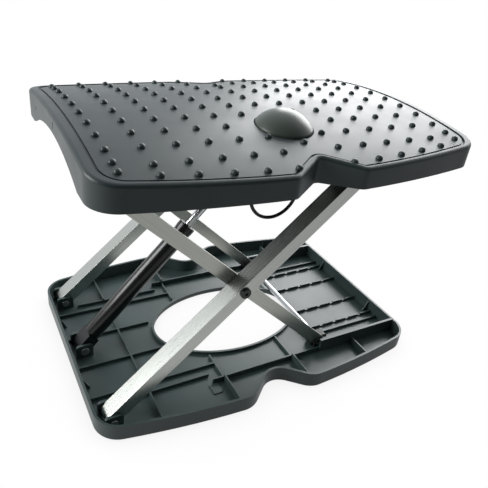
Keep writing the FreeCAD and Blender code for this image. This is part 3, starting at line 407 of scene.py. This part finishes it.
class Workshop:
    """Builds each finish once, makes pieces from meshes, and gives them to their bodies."""

    def __init__(self, finishes: FinishSet) -> None:
        """Keeps the finishes; materials are built when first asked for.

        Args:
            finishes: Every finish of the footrest.
        """
        self.finishes = finishes
        self.built: dict[str, bpy.types.Material] = {}

    def material(self, finish: Finish) -> bpy.types.Material:
        """Builds the material of a finish once.

        Args:
            finish: The finish.

        Returns:
            Its material.
        """
        if finish.name not in self.built:
            self.built[finish.name] = finish.build()
        return self.built[finish.name]

    def dress(self, node: str, finish: Finish) -> None:
        """Gives a CAD node that is carried over its material.

        Args:
            node: Name of the CAD node.
            finish: Its finish.
        """
        node_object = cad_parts[node]
        for material_slot in node_object.material_slots:
            material_slot.material = self.material(finish)
        log.info("dressed %s as %s", node, finish.name)

    def piece(self, name: str, mesh: bpy.types.Mesh, finish: Finish) -> bpy.types.Object:
        """Makes an object at the origin from a mesh.

        Args:
            name: Name of the piece.
            mesh: Its mesh, in metres, in the CAD frame.
            finish: Its finish.

        Returns:
            The new object.
        """
        mesh.name = name
        mesh.materials.clear()
        mesh.materials.append(self.material(finish))
        made = bpy.data.objects.new(name, mesh)
        bpy.context.scene.collection.objects.link(made)
        return made

    def fit(self, made: bpy.types.Object, body: Body, slot: Slot, nodes: list[str]) -> None:
        """Lets a piece ride on its body and stand for its CAD nodes.

        Args:
            made: The piece.
            body: The body that it moves with.
            slot: The record's slot of its finish; not used.
            nodes: CAD nodes that it stands for.
        """
        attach(made, body.value)
        if nodes:
            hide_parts(*nodes)
        log.info("piece %s on %s, %d faces", made.name, body.value, len(made.data.polygons))

    def evaluated(self, worked: bpy.types.Object) -> bpy.types.Mesh:
        """Turns an object with modifiers into a plain mesh and removes the object.

        Args:
            worked: The object with its modifiers.

        Returns:
            The finished mesh.
        """
        graph = bpy.context.evaluated_depsgraph_get()
        done = bpy.data.meshes.new_from_object(worked.evaluated_get(graph), depsgraph=graph)
        rough = worked.data
        worked.modifiers.clear()
        bpy.data.objects.remove(worked)
        if rough.users == 0:
            bpy.data.meshes.remove(rough)
        return done

    def softened(
        self, node: str, name: str, finish: Finish, edge_mm: float, segments: int = 2
    ) -> bpy.types.Object:
        """Copies a CAD node and rounds its edges as the real ones are.

        Args:
            node: Name of the CAD node.
            name: Name of the new piece.
            finish: Its finish.
            edge_mm: Radius of the rounded edges.
            segments: Faces across a rounded edge.

        Returns:
            The new piece.
        """
        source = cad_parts[node].data
        work = bmesh.new()
        work.from_mesh(source)
        bmesh.ops.remove_doubles(work, verts=work.verts, dist=0.004 * MM)
        bmesh.ops.dissolve_limit(work, angle_limit=radians(0.6), verts=work.verts, edges=work.edges)
        mesh = bpy.data.meshes.new(name)
        work.to_mesh(mesh)
        work.free()
        for polygon in mesh.polygons:
            polygon.use_smooth = True
        worked = bpy.data.objects.new(name, mesh)
        bpy.context.scene.collection.objects.link(worked)
        bevel = worked.modifiers.new("edges", "BEVEL")
        bevel.width = edge_mm * MM
        bevel.segments = segments
        bevel.limit_method = "ANGLE"
        bevel.angle_limit = radians(38)
        bevel.miter_outer = "MITER_ARC"
        weights = worked.modifiers.new("shading", "WEIGHTED_NORMAL")
        weights.keep_sharp = True
        weights.weight = 80
        return self.piece(name, self.evaluated(worked), finish)


def lathe(profile: list[tuple[float, float]], segments: int, place: Matrix) -> bpy.types.Mesh:
    """Turns a profile round the Z axis and puts it in place.

    Args:
        profile: Radius and height of each point in millimetres; a radius of 0 is a pole.
        segments: Faces round the axis.
        place: Matrix from the lathe's own frame, in metres, to the CAD frame.

    Returns:
        The mesh, with smooth faces that point outwards.
    """
    work = bmesh.new()
    rings = []
    for radius, height in profile:
        if radius <= 0:
            rings.append([work.verts.new((0, 0, height * MM))])
            continue
        ring = []
        for i in range(segments):
            angle = 2 * pi * i / segments
            spot = (radius * MM * cos(angle), radius * MM * sin(angle), height * MM)
            ring.append(work.verts.new(spot))
        rings.append(ring)
    for low, high in zip(rings, rings[1:]):
        for i in range(segments):
            j = (i + 1) % segments
            if len(low) == 1:
                work.faces.new((low[0], high[j], high[i]))
            elif len(high) == 1:
                work.faces.new((low[i], low[j], high[0]))
            else:
                work.faces.new((low[i], low[j], high[j], high[i]))
    bmesh.ops.recalc_face_normals(work, faces=work.faces)
    bmesh.ops.transform(work, matrix=place, verts=work.verts)
    mesh = bpy.data.meshes.new("lathe")
    work.to_mesh(mesh)
    work.free()
    mesh.polygons.foreach_set("use_smooth", [True] * len(mesh.polygons))
    mesh.set_sharp_from_angle(angle=radians(35))
    return mesh


def toward(start: Vector, direction: Vector) -> Matrix:
    """Gives the matrix that puts the Z axis on a line.

    Args:
        start: Point of the origin, in metres.
        direction: Where Z points to.

    Returns:
        The matrix.
    """
    return Matrix.Translation(start) @ direction.to_track_quat("Z", "Y").to_matrix().to_4x4()


@dataclass
class GeometryTree:
    """A geometry node group with named inputs, whose result becomes a plain mesh."""

    name: str
    numbers: dict[str, float] = field(default_factory=dict)

    def begin(self) -> tuple[bpy.types.NodeTree, bpy.types.Node]:
        """Makes the group with its inputs.

        Returns:
            The tree and its input node.
        """
        tree = bpy.data.node_groups.new(self.name, "GeometryNodeTree")
        tree.interface.new_socket("Geometry", in_out="INPUT", socket_type="NodeSocketGeometry")
        for label in self.numbers:
            tree.interface.new_socket(label, in_out="INPUT", socket_type="NodeSocketFloat")
        tree.interface.new_socket("Finish", in_out="INPUT", socket_type="NodeSocketMaterial")
        tree.interface.new_socket("Geometry", in_out="OUTPUT", socket_type="NodeSocketGeometry")
        return tree, tree.nodes.new("NodeGroupInput")

    def end(
        self, tree: bpy.types.NodeTree, given: bpy.types.Node, instances: bpy.types.NodeSocket
    ) -> None:
        """Ends the tree in Realize Instances and Set Material.

        Args:
            tree: The tree.
            given: Its input node.
            instances: What to realize.
        """
        real = add_node(tree, "GeometryNodeRealizeInstances", {}, {0: instances})
        smooth = add_node(
            tree, "GeometryNodeSetShadeSmooth", {}, {"Geometry": real.outputs[0], "Shade Smooth": True}
        )
        finished = add_node(
            tree,
            "GeometryNodeSetMaterial",
            {},
            {"Geometry": smooth.outputs[0], "Material": given.outputs["Finish"]},
        )
        add_node(tree, "NodeGroupOutput", {}, {0: finished.outputs[0]})

    def run(
        self,
        shop: Workshop,
        tree: bpy.types.NodeTree,
        points: bpy.types.Mesh,
        name: str,
        finish: Finish,
    ) -> bpy.types.Object:
        """Runs the tree on a mesh of points and keeps the result as a plain piece.

        Args:
            shop: The workshop.
            tree: The finished tree.
            points: Mesh that carries the places.
            name: Name of the piece.
            finish: Its finish.

        Returns:
            The new piece.
        """
        worked = bpy.data.objects.new(name, points)
        bpy.context.scene.collection.objects.link(worked)
        modifier = worked.modifiers.new(self.name, "NODES")
        modifier.node_group = tree
        for item in tree.interface.items_tree:
            if item.item_type != "SOCKET" or item.in_out != "INPUT":
                continue
            if item.name in self.numbers:
                modifier[item.identifier] = self.numbers[item.name]
            elif item.name == "Finish":
                modifier[item.identifier] = shop.material(finish)
        worked.update_tag()
        bpy.context.view_layer.update()
        return shop.piece(name, shop.evaluated(worked), finish)


def points_mesh(places: list[Vector], turns: list[Vector]) -> bpy.types.Mesh:
    """Makes a mesh of loose points that carry a turn.

    Args:
        places: Points in metres.
        turns: Euler angles of each point, in radians.

    Returns:
        The mesh, with the angles in the attribute "turn".
    """
    mesh = bpy.data.meshes.new("places")
    mesh.from_pydata([tuple(p) for p in places], [], [])
    attribute = mesh.attributes.new("turn", "FLOAT_VECTOR", "POINT")
    attribute.data.foreach_set("vector", [c for t in turns for c in t])
    return mesh


@dataclass
class Platform:
    """The arched top with its nubs, brackets and guide rails."""

    shop: Workshop
    middle_x: float = 0.0
    half_length: float = 231.3
    half_depth: float = 165.5
    half_end: float = 142.5
    crown_z: float = 321.70
    arch_radius: float = 800.0
    field_depth: float = 0.8
    nub_radius: float = 3.7
    nub_height: float = 3.9
    nub_shoulder: float = 0.8
    nub_columns: int = 13
    nub_pitch_x: float = 34.0
    nub_pitch_y: float = 29.85
    nub_rows: int = 3
    nub_outer_row_y: float = 121.0
    nub_end_rows_y: tuple[float, float] = (112.0, 127.7)
    nub_edge_inset: float = 14.6
    nub_notch_y: float = 106.0
    nub_button_margin: float = 6.4
    nub_cover: float = 0.04
    button_x: float = -0.8
    button_y: float = -66.7
    button_radius: float = 32.5

    def bow_depth(self, x: float) -> float:
        """Works out the half depth of the outline.

        Args:
            x: Place along the long side in millimetres, from the middle.

        Returns:
            How far the long side reaches from the middle there, in millimetres.
        """
        bow = self.half_depth - self.half_end
        radius = (self.half_length**2 + bow**2) / (2 * bow)
        return sqrt(radius**2 - x**2) - (radius - self.half_depth)

    def nub_places(self) -> list[tuple[float, float]]:
        """Lays out the nubs.

        Returns:
            Their places in plan, in millimetres.
        """
        half = self.nub_columns // 2
        places = []
        for column in range(-half, half + 1):
            x = column * self.nub_pitch_x
            rows = [i * self.nub_pitch_y for i in range(-self.nub_rows, self.nub_rows + 1)]
            if abs(column) == half:
                outer = list(self.nub_end_rows_y)
            elif column == 0:
                outer = [self.nub_notch_y]
            else:
                outer = [self.nub_outer_row_y, self.bow_depth(x) - self.nub_edge_inset]
            for y in rows + outer + [-y for y in outer]:
                from_button = hypot(x + self.middle_x - self.button_x, y - self.button_y)
                if from_button > self.button_radius + self.nub_button_margin:
                    places.append((x + self.middle_x, y))
        return places

    def nubs(self) -> bpy.types.Object:
        """Makes the massage nubs as smooth domes square to the arch.

        Returns:
            The piece with all the nubs.
        """
        rise = self.nub_height - self.nub_shoulder
        dome = (self.nub_radius**2 + rise**2) / (2 * rise)
        kit = GeometryTree(
            "nub_domes",
            {"Dome Radius": (dome + self.nub_cover) * MM, "Sink": (dome - self.nub_height) * MM},
        )
        tree, given = kit.begin()
        ball = add_node(
            tree,
            "GeometryNodeMeshUVSphere",
            {},
            {"Segments": 28, "Rings": 16, "Radius": given.outputs["Dome Radius"]},
        )
        place = add_node(tree, "GeometryNodeInputPosition", {}, {})
        down = add_node(
            tree, "ShaderNodeMath", {"operation": "MULTIPLY"}, {0: given.outputs["Sink"], 1: -1.0}
        )
        offset = add_node(tree, "ShaderNodeCombineXYZ", {}, {"Z": down.outputs[0]})
        lowered = add_node(
            tree,
            "ShaderNodeVectorMath",
            {"operation": "ADD"},
            {0: place.outputs[0], 1: offset.outputs[0]},
        )
        flat = add_node(
            tree,
            "ShaderNodeVectorMath",
            {"operation": "MAXIMUM"},
            {0: lowered.outputs[0], 1: (-1.0, -1.0, -0.4 * MM)},
        )
        cap = add_node(
            tree,
            "GeometryNodeSetPosition",
            {},
            {"Geometry": ball.outputs[0], "Position": flat.outputs[0]},
        )
        turn = add_node(
            tree, "GeometryNodeInputNamedAttribute", {"data_type": "FLOAT_VECTOR"}, {"Name": "turn"}
        )
        spots = add_node(tree, "GeometryNodeMeshToPoints", {}, {"Mesh": given.outputs["Geometry"]})
        copies = add_node(
            tree,
            "GeometryNodeInstanceOnPoints",
            {},
            {"Points": spots.outputs[0], "Instance": cap.outputs[0], "Rotation": turn.outputs[0]},
        )
        kit.end(tree, given, copies.outputs[0])
        places, turns = [], []
        reach = self.arch_radius - self.field_depth
        for x, y in self.nub_places():
            angle = asin(y / self.arch_radius)
            z = self.crown_z - self.arch_radius + reach * cos(angle)
            places.append(Vector((x, reach * sin(angle), z)) * MM)
            turns.append(Vector((-angle, 0.0, 0.0)))
        spots_mesh = points_mesh(places, turns)
        return kit.run(self.shop, tree, spots_mesh, "massage_nubs", self.shop.finishes.platform)

    def build(self) -> None:
        """Builds and dresses the platform."""
        finishes = self.shop.finishes
        self.shop.dress("platform_shell", finishes.platform)
        self.shop.fit(self.nubs(), Body.PLATFORM, Slot.PLATFORM_PLASTIC, [])
        for side in ("front", "back"):
            for node in (f"pivot_bracket_{side}", f"guide_rail_{side}"):
                made = self.shop.softened(node, f"{node}_folded", finishes.black_zinc, 0.5)
                self.shop.fit(made, Body.PLATFORM, Slot.BRACKET_STEEL, [node])
        made = self.shop.softened(
            "gas_upper_bracket", "gas_upper_bracket_folded", finishes.black_zinc, 0.5
        )
        self.shop.fit(made, Body.PLATFORM, Slot.BRACKET_STEEL, ["gas_upper_bracket"])
        for node in ("top_pivot_pins", "bracket_screws", "gas_bracket_rivets", "lever_pin"):
            self.shop.dress(node, finishes.zinc)


@dataclass
class BaseTray:
    """The ribbed tray on its rubber feet."""

    shop: Workshop

    def build(self) -> None:
        """Builds and dresses the base."""
        finishes = self.shop.finishes
        self.shop.dress("base_tray", finishes.base)
        self.shop.dress("rubber_feet", finishes.rubber)
        self.shop.dress("base_pivot_pins", finishes.zinc)
        self.shop.dress("gas_lower_pin", finishes.zinc)


@dataclass
class ScissorArms:
    """The two pairs of crossed arms, with their bolts, rods, shoes and blocks."""

    shop: Workshop
    edge_mm: float = 0.6

    def build(self) -> None:
        """Builds and dresses the linkage."""
        finishes = self.shop.finishes
        for side in ("front", "back"):
            outer = self.shop.softened(
                f"outer_arm_{side}", f"outer_arm_{side}_brushed", finishes.rising, self.edge_mm
            )
            self.shop.fit(outer, Body.OUTER_ARMS, Slot.BRUSHED_ALUMINIUM, [f"outer_arm_{side}"])
            inner = self.shop.softened(
                f"inner_arm_{side}", f"inner_arm_{side}_brushed", finishes.falling, self.edge_mm
            )
            self.shop.fit(inner, Body.INNER_ARMS, Slot.BRUSHED_ALUMINIUM, [f"inner_arm_{side}"])
        for node, name, body in (
            ("shoe_plates", "shoe_plates_moulded", Body.LOWER_SHOES),
            ("shoe_blocks", "shoe_blocks_moulded", Body.LOWER_SHOES),
            ("rail_blocks", "rail_blocks_moulded", Body.UPPER_BLOCKS),
        ):
            made = self.shop.softened(node, name, finishes.acetal, 0.5)
            self.shop.fit(made, body, Slot.SLIDER_PLASTIC, [node])
        self.shop.dress("shoe_screws", finishes.zinc)
        self.shop.dress("lower_slide_rod", finishes.chrome)
        self.shop.dress("upper_slide_rod", finishes.chrome)
        self.shop.dress("centre_bolts", finishes.paint)
        self.shop.dress("centre_nuts", finishes.paint)
        self.shop.dress("centre_washers", finishes.zinc)


@dataclass
class GasSpring:
    """The lockable gas spring between the base and the platform."""

    shop: Workshop
    lower_pin: tuple[float, float, float] = (-211.3, 10.0, 11.5)
    angle: float = 47.8
    segments: int = 96
    tube_profile: tuple[tuple[float, float], ...] = (
        (0.0, 20.0),
        (9.8, 20.0),
        (10.9, 20.5),
        (11.3, 21.8),
        (11.3, 195.0),
        (10.8, 195.5),
        (10.8, 196.5),
        (11.3, 197.0),
        (11.3, 200.0),
        (9.6, 200.0),
        (9.6, 24.0),
        (0.0, 24.0),
    )

    def tube(self) -> bpy.types.Object:
        """Turns the pressure tube with its rolled groove near the collar.

        Returns:
            The tube.
        """
        lean = radians(self.angle)
        place = toward(Vector(self.lower_pin) * MM, Vector((cos(lean), 0.0, sin(lean))))
        mesh = lathe(list(self.tube_profile), self.segments, place)
        return self.shop.piece("gas_tube_painted", mesh, self.shop.finishes.paint)

    def build(self) -> None:
        """Builds and dresses the gas spring."""
        finishes = self.shop.finishes
        self.shop.fit(self.tube(), Body.GAS_TUBE, Slot.BLACK_STEEL, ["gas_cylinder"])
        for node in ("gas_lower_eye", "gas_collar", "gas_release_head"):
            self.shop.dress(node, finishes.paint)
        for node in ("gas_rod", "gas_release_pin"):
            self.shop.dress(node, finishes.chrome)


@dataclass
class FootButton:
    """The release button, its housing, lever and springs."""

    shop: Workshop
    tilt: float = 4.782
    spring_foot: tuple[float, float, float] = (-0.8, -56.03, 287.30)
    pressed_share: float = 0.871

    def springs(self) -> None:
        """Copies the return springs and gives them to the platform."""
        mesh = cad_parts["button_springs"].data.copy()
        made = self.shop.piece("button_springs_wound", mesh, self.shop.finishes.zinc)
        self.shop.fit(made, Body.PLATFORM, Slot.BRIGHT_STEEL, ["button_springs"])
        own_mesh(made)

    def build(self) -> None:
        """Builds and dresses the button."""
        finishes = self.shop.finishes
        made = self.shop.softened("foot_button", "foot_button_moulded", finishes.button, 1.2, 4)
        self.shop.fit(made, Body.BUTTON, Slot.BUTTON_PLASTIC, ["foot_button"])
        self.shop.dress("button_housing", finishes.acetal)
        self.shop.dress("release_lever", finishes.acetal)
        self.springs()
        self.shop.dress("cable_inner_wire", finishes.zinc)


@dataclass
class ReleaseCable:
    """The Bowden cable from the button's housing down round a loop to the gas spring's bracket."""

    shop: Workshop
    radius: float = 2.0
    right_x: float = 14.2
    loop_y: float = -89.71
    top_z: float = 275.07
    loop_z: float = 249.96
    run_z: float = 301.96
    loop_radius: float = 30.0
    bend_radius: float = 18.0
    turn_radius: float = 32.0
    gas_y: float = 10.0
    end_x: float = 8.9
    sides: int = 20
    folded_share: float = 0.3

    def arc(
        self, centre: Vector, start: Vector, end: Vector, degrees_turned: float, steps: int
    ) -> list[Vector]:
        """Lists points on an arc.

        Args:
            centre: Its centre.
            start: Arm from the centre to the first point.
            end: Arm of the same length, a quarter turn on.
            degrees_turned: Length of the arc in degrees.
            steps: Number of pieces.

        Returns:
            The points after the first.
        """
        points = []
        for i in range(1, steps + 1):
            angle = radians(degrees_turned) * i / steps
            points.append(centre + start * cos(angle) + end * sin(angle))
        return points

    def path(self) -> list[Vector]:
        """Lays out the route in millimetres, as the CAD has it.

        Returns:
            Points along the cable's middle.
        """
        loop, bend, turn = self.loop_radius, self.bend_radius, self.turn_radius
        left_x = self.right_x - 2 * loop
        points = [Vector((self.right_x, self.loop_y, self.top_z))]
        centre = Vector((self.right_x - loop, self.loop_y, self.loop_z))
        points.append(centre + Vector((loop, 0, 0)))
        points += self.arc(centre, Vector((loop, 0, 0)), Vector((0, 0, -loop)), 180.0, 40)
        centre = Vector((left_x, self.loop_y + bend, self.run_z - bend))
        points.append(centre + Vector((0, -bend, 0)))
        points += self.arc(centre, Vector((0, -bend, 0)), Vector((0, 0, bend)), 90.0, 18)
        centre = Vector((left_x + turn, self.gas_y - turn, self.run_z))
        points.append(centre + Vector((-turn, 0, 0)))
        points += self.arc(centre, Vector((-turn, 0, 0)), Vector((0, turn, 0)), 90.0, 22)
        points.append(Vector((self.end_x, self.gas_y, self.run_z)))
        return points

    def jacket(self) -> bpy.types.Object:
        """Sweeps the jacket along the route.

        Returns:
            The cable.
        """
        path = self.path()
        work = bmesh.new()
        rings = []
        side = Vector((0, 1, 0))
        for i, point in enumerate(path):
            ahead = (path[min(i + 1, len(path) - 1)] - path[max(i - 1, 0)]).normalized()
            side = (side - ahead * side.dot(ahead)).normalized()
            other = ahead.cross(side)
            ring = []
            for k in range(self.sides):
                angle = 2 * pi * k / self.sides
                spot = point + (side * cos(angle) + other * sin(angle)) * self.radius
                ring.append(work.verts.new(spot * MM))
            rings.append(ring)
        for low, high in zip(rings, rings[1:]):
            for k in range(self.sides):
                n = (k + 1) % self.sides
                work.faces.new((low[k], low[n], high[n], high[k]))
        work.faces.new(rings[0])
        work.faces.new(rings[-1])
        bmesh.ops.recalc_face_normals(work, faces=work.faces)
        mesh = bpy.data.meshes.new("cable")
        work.to_mesh(mesh)
        work.free()
        mesh.polygons.foreach_set("use_smooth", [True] * len(mesh.polygons))
        mesh.set_sharp_from_angle(angle=radians(50))
        return self.shop.piece("release_cable_jacket", mesh, self.shop.finishes.jacket)

    def build(self) -> None:
        """Builds and dresses the cable."""
        jacket = self.jacket()
        self.shop.fit(jacket, Body.PLATFORM, Slot.CABLE_JACKET, ["release_cable"])
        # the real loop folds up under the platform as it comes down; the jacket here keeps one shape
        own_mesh(jacket)
        self.shop.dress("cable_ferrules", self.shop.finishes.zinc)


@dataclass
class Studio:
    """Camera, lights, floor and world."""

    eye: tuple[float, float, float] = (-0.326959, -0.530548, 0.496466)
    azimuth: float = -0.5661
    elevation: float = 0.5308
    roll: float = 0.1297
    lens: float = 39.28

    def camera(self) -> None:
        """Sets the camera at the photograph's viewing angle."""
        back = Vector(
            (
                sin(self.azimuth) * cos(self.elevation),
                -cos(self.azimuth) * cos(self.elevation),
                sin(self.elevation),
            )
        )
        level = Vector((0, 0, 1)).cross(back).normalized()
        upward = back.cross(level)
        right = level * cos(self.roll) + upward * sin(self.roll)
        top = upward * cos(self.roll) - level * sin(self.roll)
        turn = Matrix((right, top, back)).transposed().to_4x4()
        data = bpy.data.cameras.new("camera")
        data.lens = self.lens
        data.sensor_width = 36.0
        data.clip_start = 0.01
        made = bpy.data.objects.new("camera", data)
        made.matrix_world = Matrix.Translation(Vector(self.eye)) @ turn
        bpy.context.scene.collection.objects.link(made)
        bpy.context.scene.camera = made

    def softbox(
        self,
        name: str,
        place: tuple[float, float, float],
        aim: tuple[float, float, float],
        size: tuple[float, float],
        power: float,
    ) -> None:
        """Adds a rectangular light.

        Args:
            name: Name of the light.
            place: Where it stands, in metres.
            aim: The point that it faces.
            size: Width and height in metres.
            power: Power in watts.
        """
        data = bpy.data.lights.new(name, "AREA")
        data.shape = "RECTANGLE"
        data.size, data.size_y = size
        data.energy = power
        made = bpy.data.objects.new(name, data)
        direction = Vector(place) - Vector(aim)
        made.matrix_world = toward(Vector(place), direction)
        made.visible_camera = False
        bpy.context.scene.collection.objects.link(made)

    def white_for_eye(
        self,
        tree: bpy.types.NodeTree,
        lit: bpy.types.NodeSocket,
        white: bpy.types.NodeSocket,
        glossy_share: float | bpy.types.NodeSocket,
    ) -> bpy.types.NodeSocket:
        """Mixes a shader with plain white for what the camera and reflections see.

        Args:
            tree: World or material tree.
            lit: Shader that lights the object.
            white: Plain white shader.
            glossy_share: How white the reflections are.

        Returns:
            The mixed shader.
        """
        path = add_node(tree, "ShaderNodeLightPath", {}, {})
        gloss = add_node(
            tree,
            "ShaderNodeMath",
            {"operation": "MULTIPLY"},
            {0: path.outputs["Is Glossy Ray"], 1: glossy_share},
        )
        seen = add_node(
            tree,
            "ShaderNodeMath",
            {"operation": "MAXIMUM"},
            {0: path.outputs["Is Camera Ray"], 1: path.outputs["Is Transmission Ray"]},
        )
        factor = add_node(
            tree, "ShaderNodeMath", {"operation": "MAXIMUM"}, {0: seen.outputs[0], 1: gloss.outputs[0]}
        )
        mixed = add_node(tree, "ShaderNodeMixShader", {}, {0: factor.outputs[0], 1: lit, 2: white})
        return mixed.outputs[0]

    def world(self) -> None:
        """Makes a soft sky that is brighter behind the object, and white to the camera."""
        sky = bpy.data.worlds.new("studio")
        sky.use_nodes = True
        tree = sky.node_tree
        tree.nodes.clear()
        direction = add_node(tree, "ShaderNodeTexCoord", {}, {})
        lean = add_node(
            tree,
            "ShaderNodeVectorMath",
            {"operation": "DOT_PRODUCT"},
            {0: direction.outputs["Generated"], 1: (0.50, 0.80, 0.33)},
        )
        strength = add_node(
            tree,
            "ShaderNodeMapRange",
            {"interpolation_type": "SMOOTHSTEP"},
            {
                "Value": lean.outputs["Value"],
                "From Min": -0.3,
                "From Max": 0.9,
                "To Min": 0.06,
                "To Max": 1.0,
            },
        )
        lit = add_node(
            tree,
            "ShaderNodeBackground",
            {},
            {"Color": linear("#f4f7fb"), "Strength": strength.outputs[0]},
        )
        white = add_node(tree, "ShaderNodeBackground", {}, {"Color": (1, 1, 1, 1), "Strength": 1.0})
        out = self.white_for_eye(tree, lit.outputs[0], white.outputs[0], 0.0)
        add_node(tree, "ShaderNodeOutputWorld", {}, {"Surface": out})
        bpy.context.scene.world = sky

    def floor(self) -> None:
        """Lays the pale floor."""
        work = bmesh.new()
        bmesh.ops.create_grid(work, x_segments=1, y_segments=1, size=6.0)
        mesh = bpy.data.meshes.new("floor")
        work.to_mesh(mesh)
        work.free()
        made = bpy.data.objects.new("floor", mesh)
        bpy.context.scene.collection.objects.link(made)
        material = bpy.data.materials.new("studio_floor")
        material.use_nodes = True
        tree = material.node_tree
        tree.nodes.clear()
        lit = add_node(tree, "ShaderNodeBsdfDiffuse", {}, {"Color": linear("#8c8c8c")})
        # the object's contact shadow, kept under the white
        shade = add_node(tree, "ShaderNodeAmbientOcclusion", {"samples": 8}, {"Distance": 0.22})
        level = add_node(
            tree,
            "ShaderNodeMapRange",
            {},
            {
                "Value": shade.outputs["AO"],
                "From Min": 0.2,
                "From Max": 0.9,
                "To Min": 0.84,
                "To Max": 1.0,
            },
        )
        white = add_node(
            tree, "ShaderNodeEmission", {}, {"Color": (1, 1, 1, 1), "Strength": level.outputs[0]}
        )
        # painted reflection: how white the floor shows in the object's reflections is painted by place,
        # brighter behind and to the left of the object and darker before it
        spot = add_node(tree, "ShaderNodeTexCoord", {}, {})
        lean = add_node(
            tree,
            "ShaderNodeVectorMath",
            {"operation": "DOT_PRODUCT"},
            {0: spot.outputs["Object"], 1: (-0.5, 0.85, 0.0)},
        )
        share = add_node(
            tree,
            "ShaderNodeMapRange",
            {"interpolation_type": "SMOOTHSTEP"},
            {
                "Value": lean.outputs["Value"],
                "From Min": -0.45,
                "From Max": 0.45,
                "To Min": 0.30,
                "To Max": 0.95,
            },
        )
        out = self.white_for_eye(tree, lit.outputs[0], white.outputs[0], share.outputs[0])
        add_node(tree, "ShaderNodeOutputMaterial", {}, {"Surface": out})
        mesh.materials.append(material)

    def build(self) -> None:
        """Sets up the studio."""
        bpy.context.scene.view_settings.view_transform = "Standard"
        self.camera()
        self.world()
        self.floor()
        self.softbox("back_softbox", (1.95, 1.45, 1.2), (0.0, 0.0, 0.25), (2.2, 1.7), 64.0)
        self.softbox("left_softbox", (-1.9, 0.5, 1.0), (0.0, 0.0, 0.2), (1.2, 1.0), 30.0)


def main() -> None:
    """Builds the classes in order."""
    logging.basicConfig(level=logging.INFO, format="%(message)s")
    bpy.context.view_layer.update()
    shop = Workshop(FinishSet())
    for part in (
        Studio(),
        BaseTray(shop),
        ScissorArms(shop),
        GasSpring(shop),
        Platform(shop),
        FootButton(shop),
        ReleaseCable(shop),
    ):
        part.build()


if __name__ == "__main__":
    main()
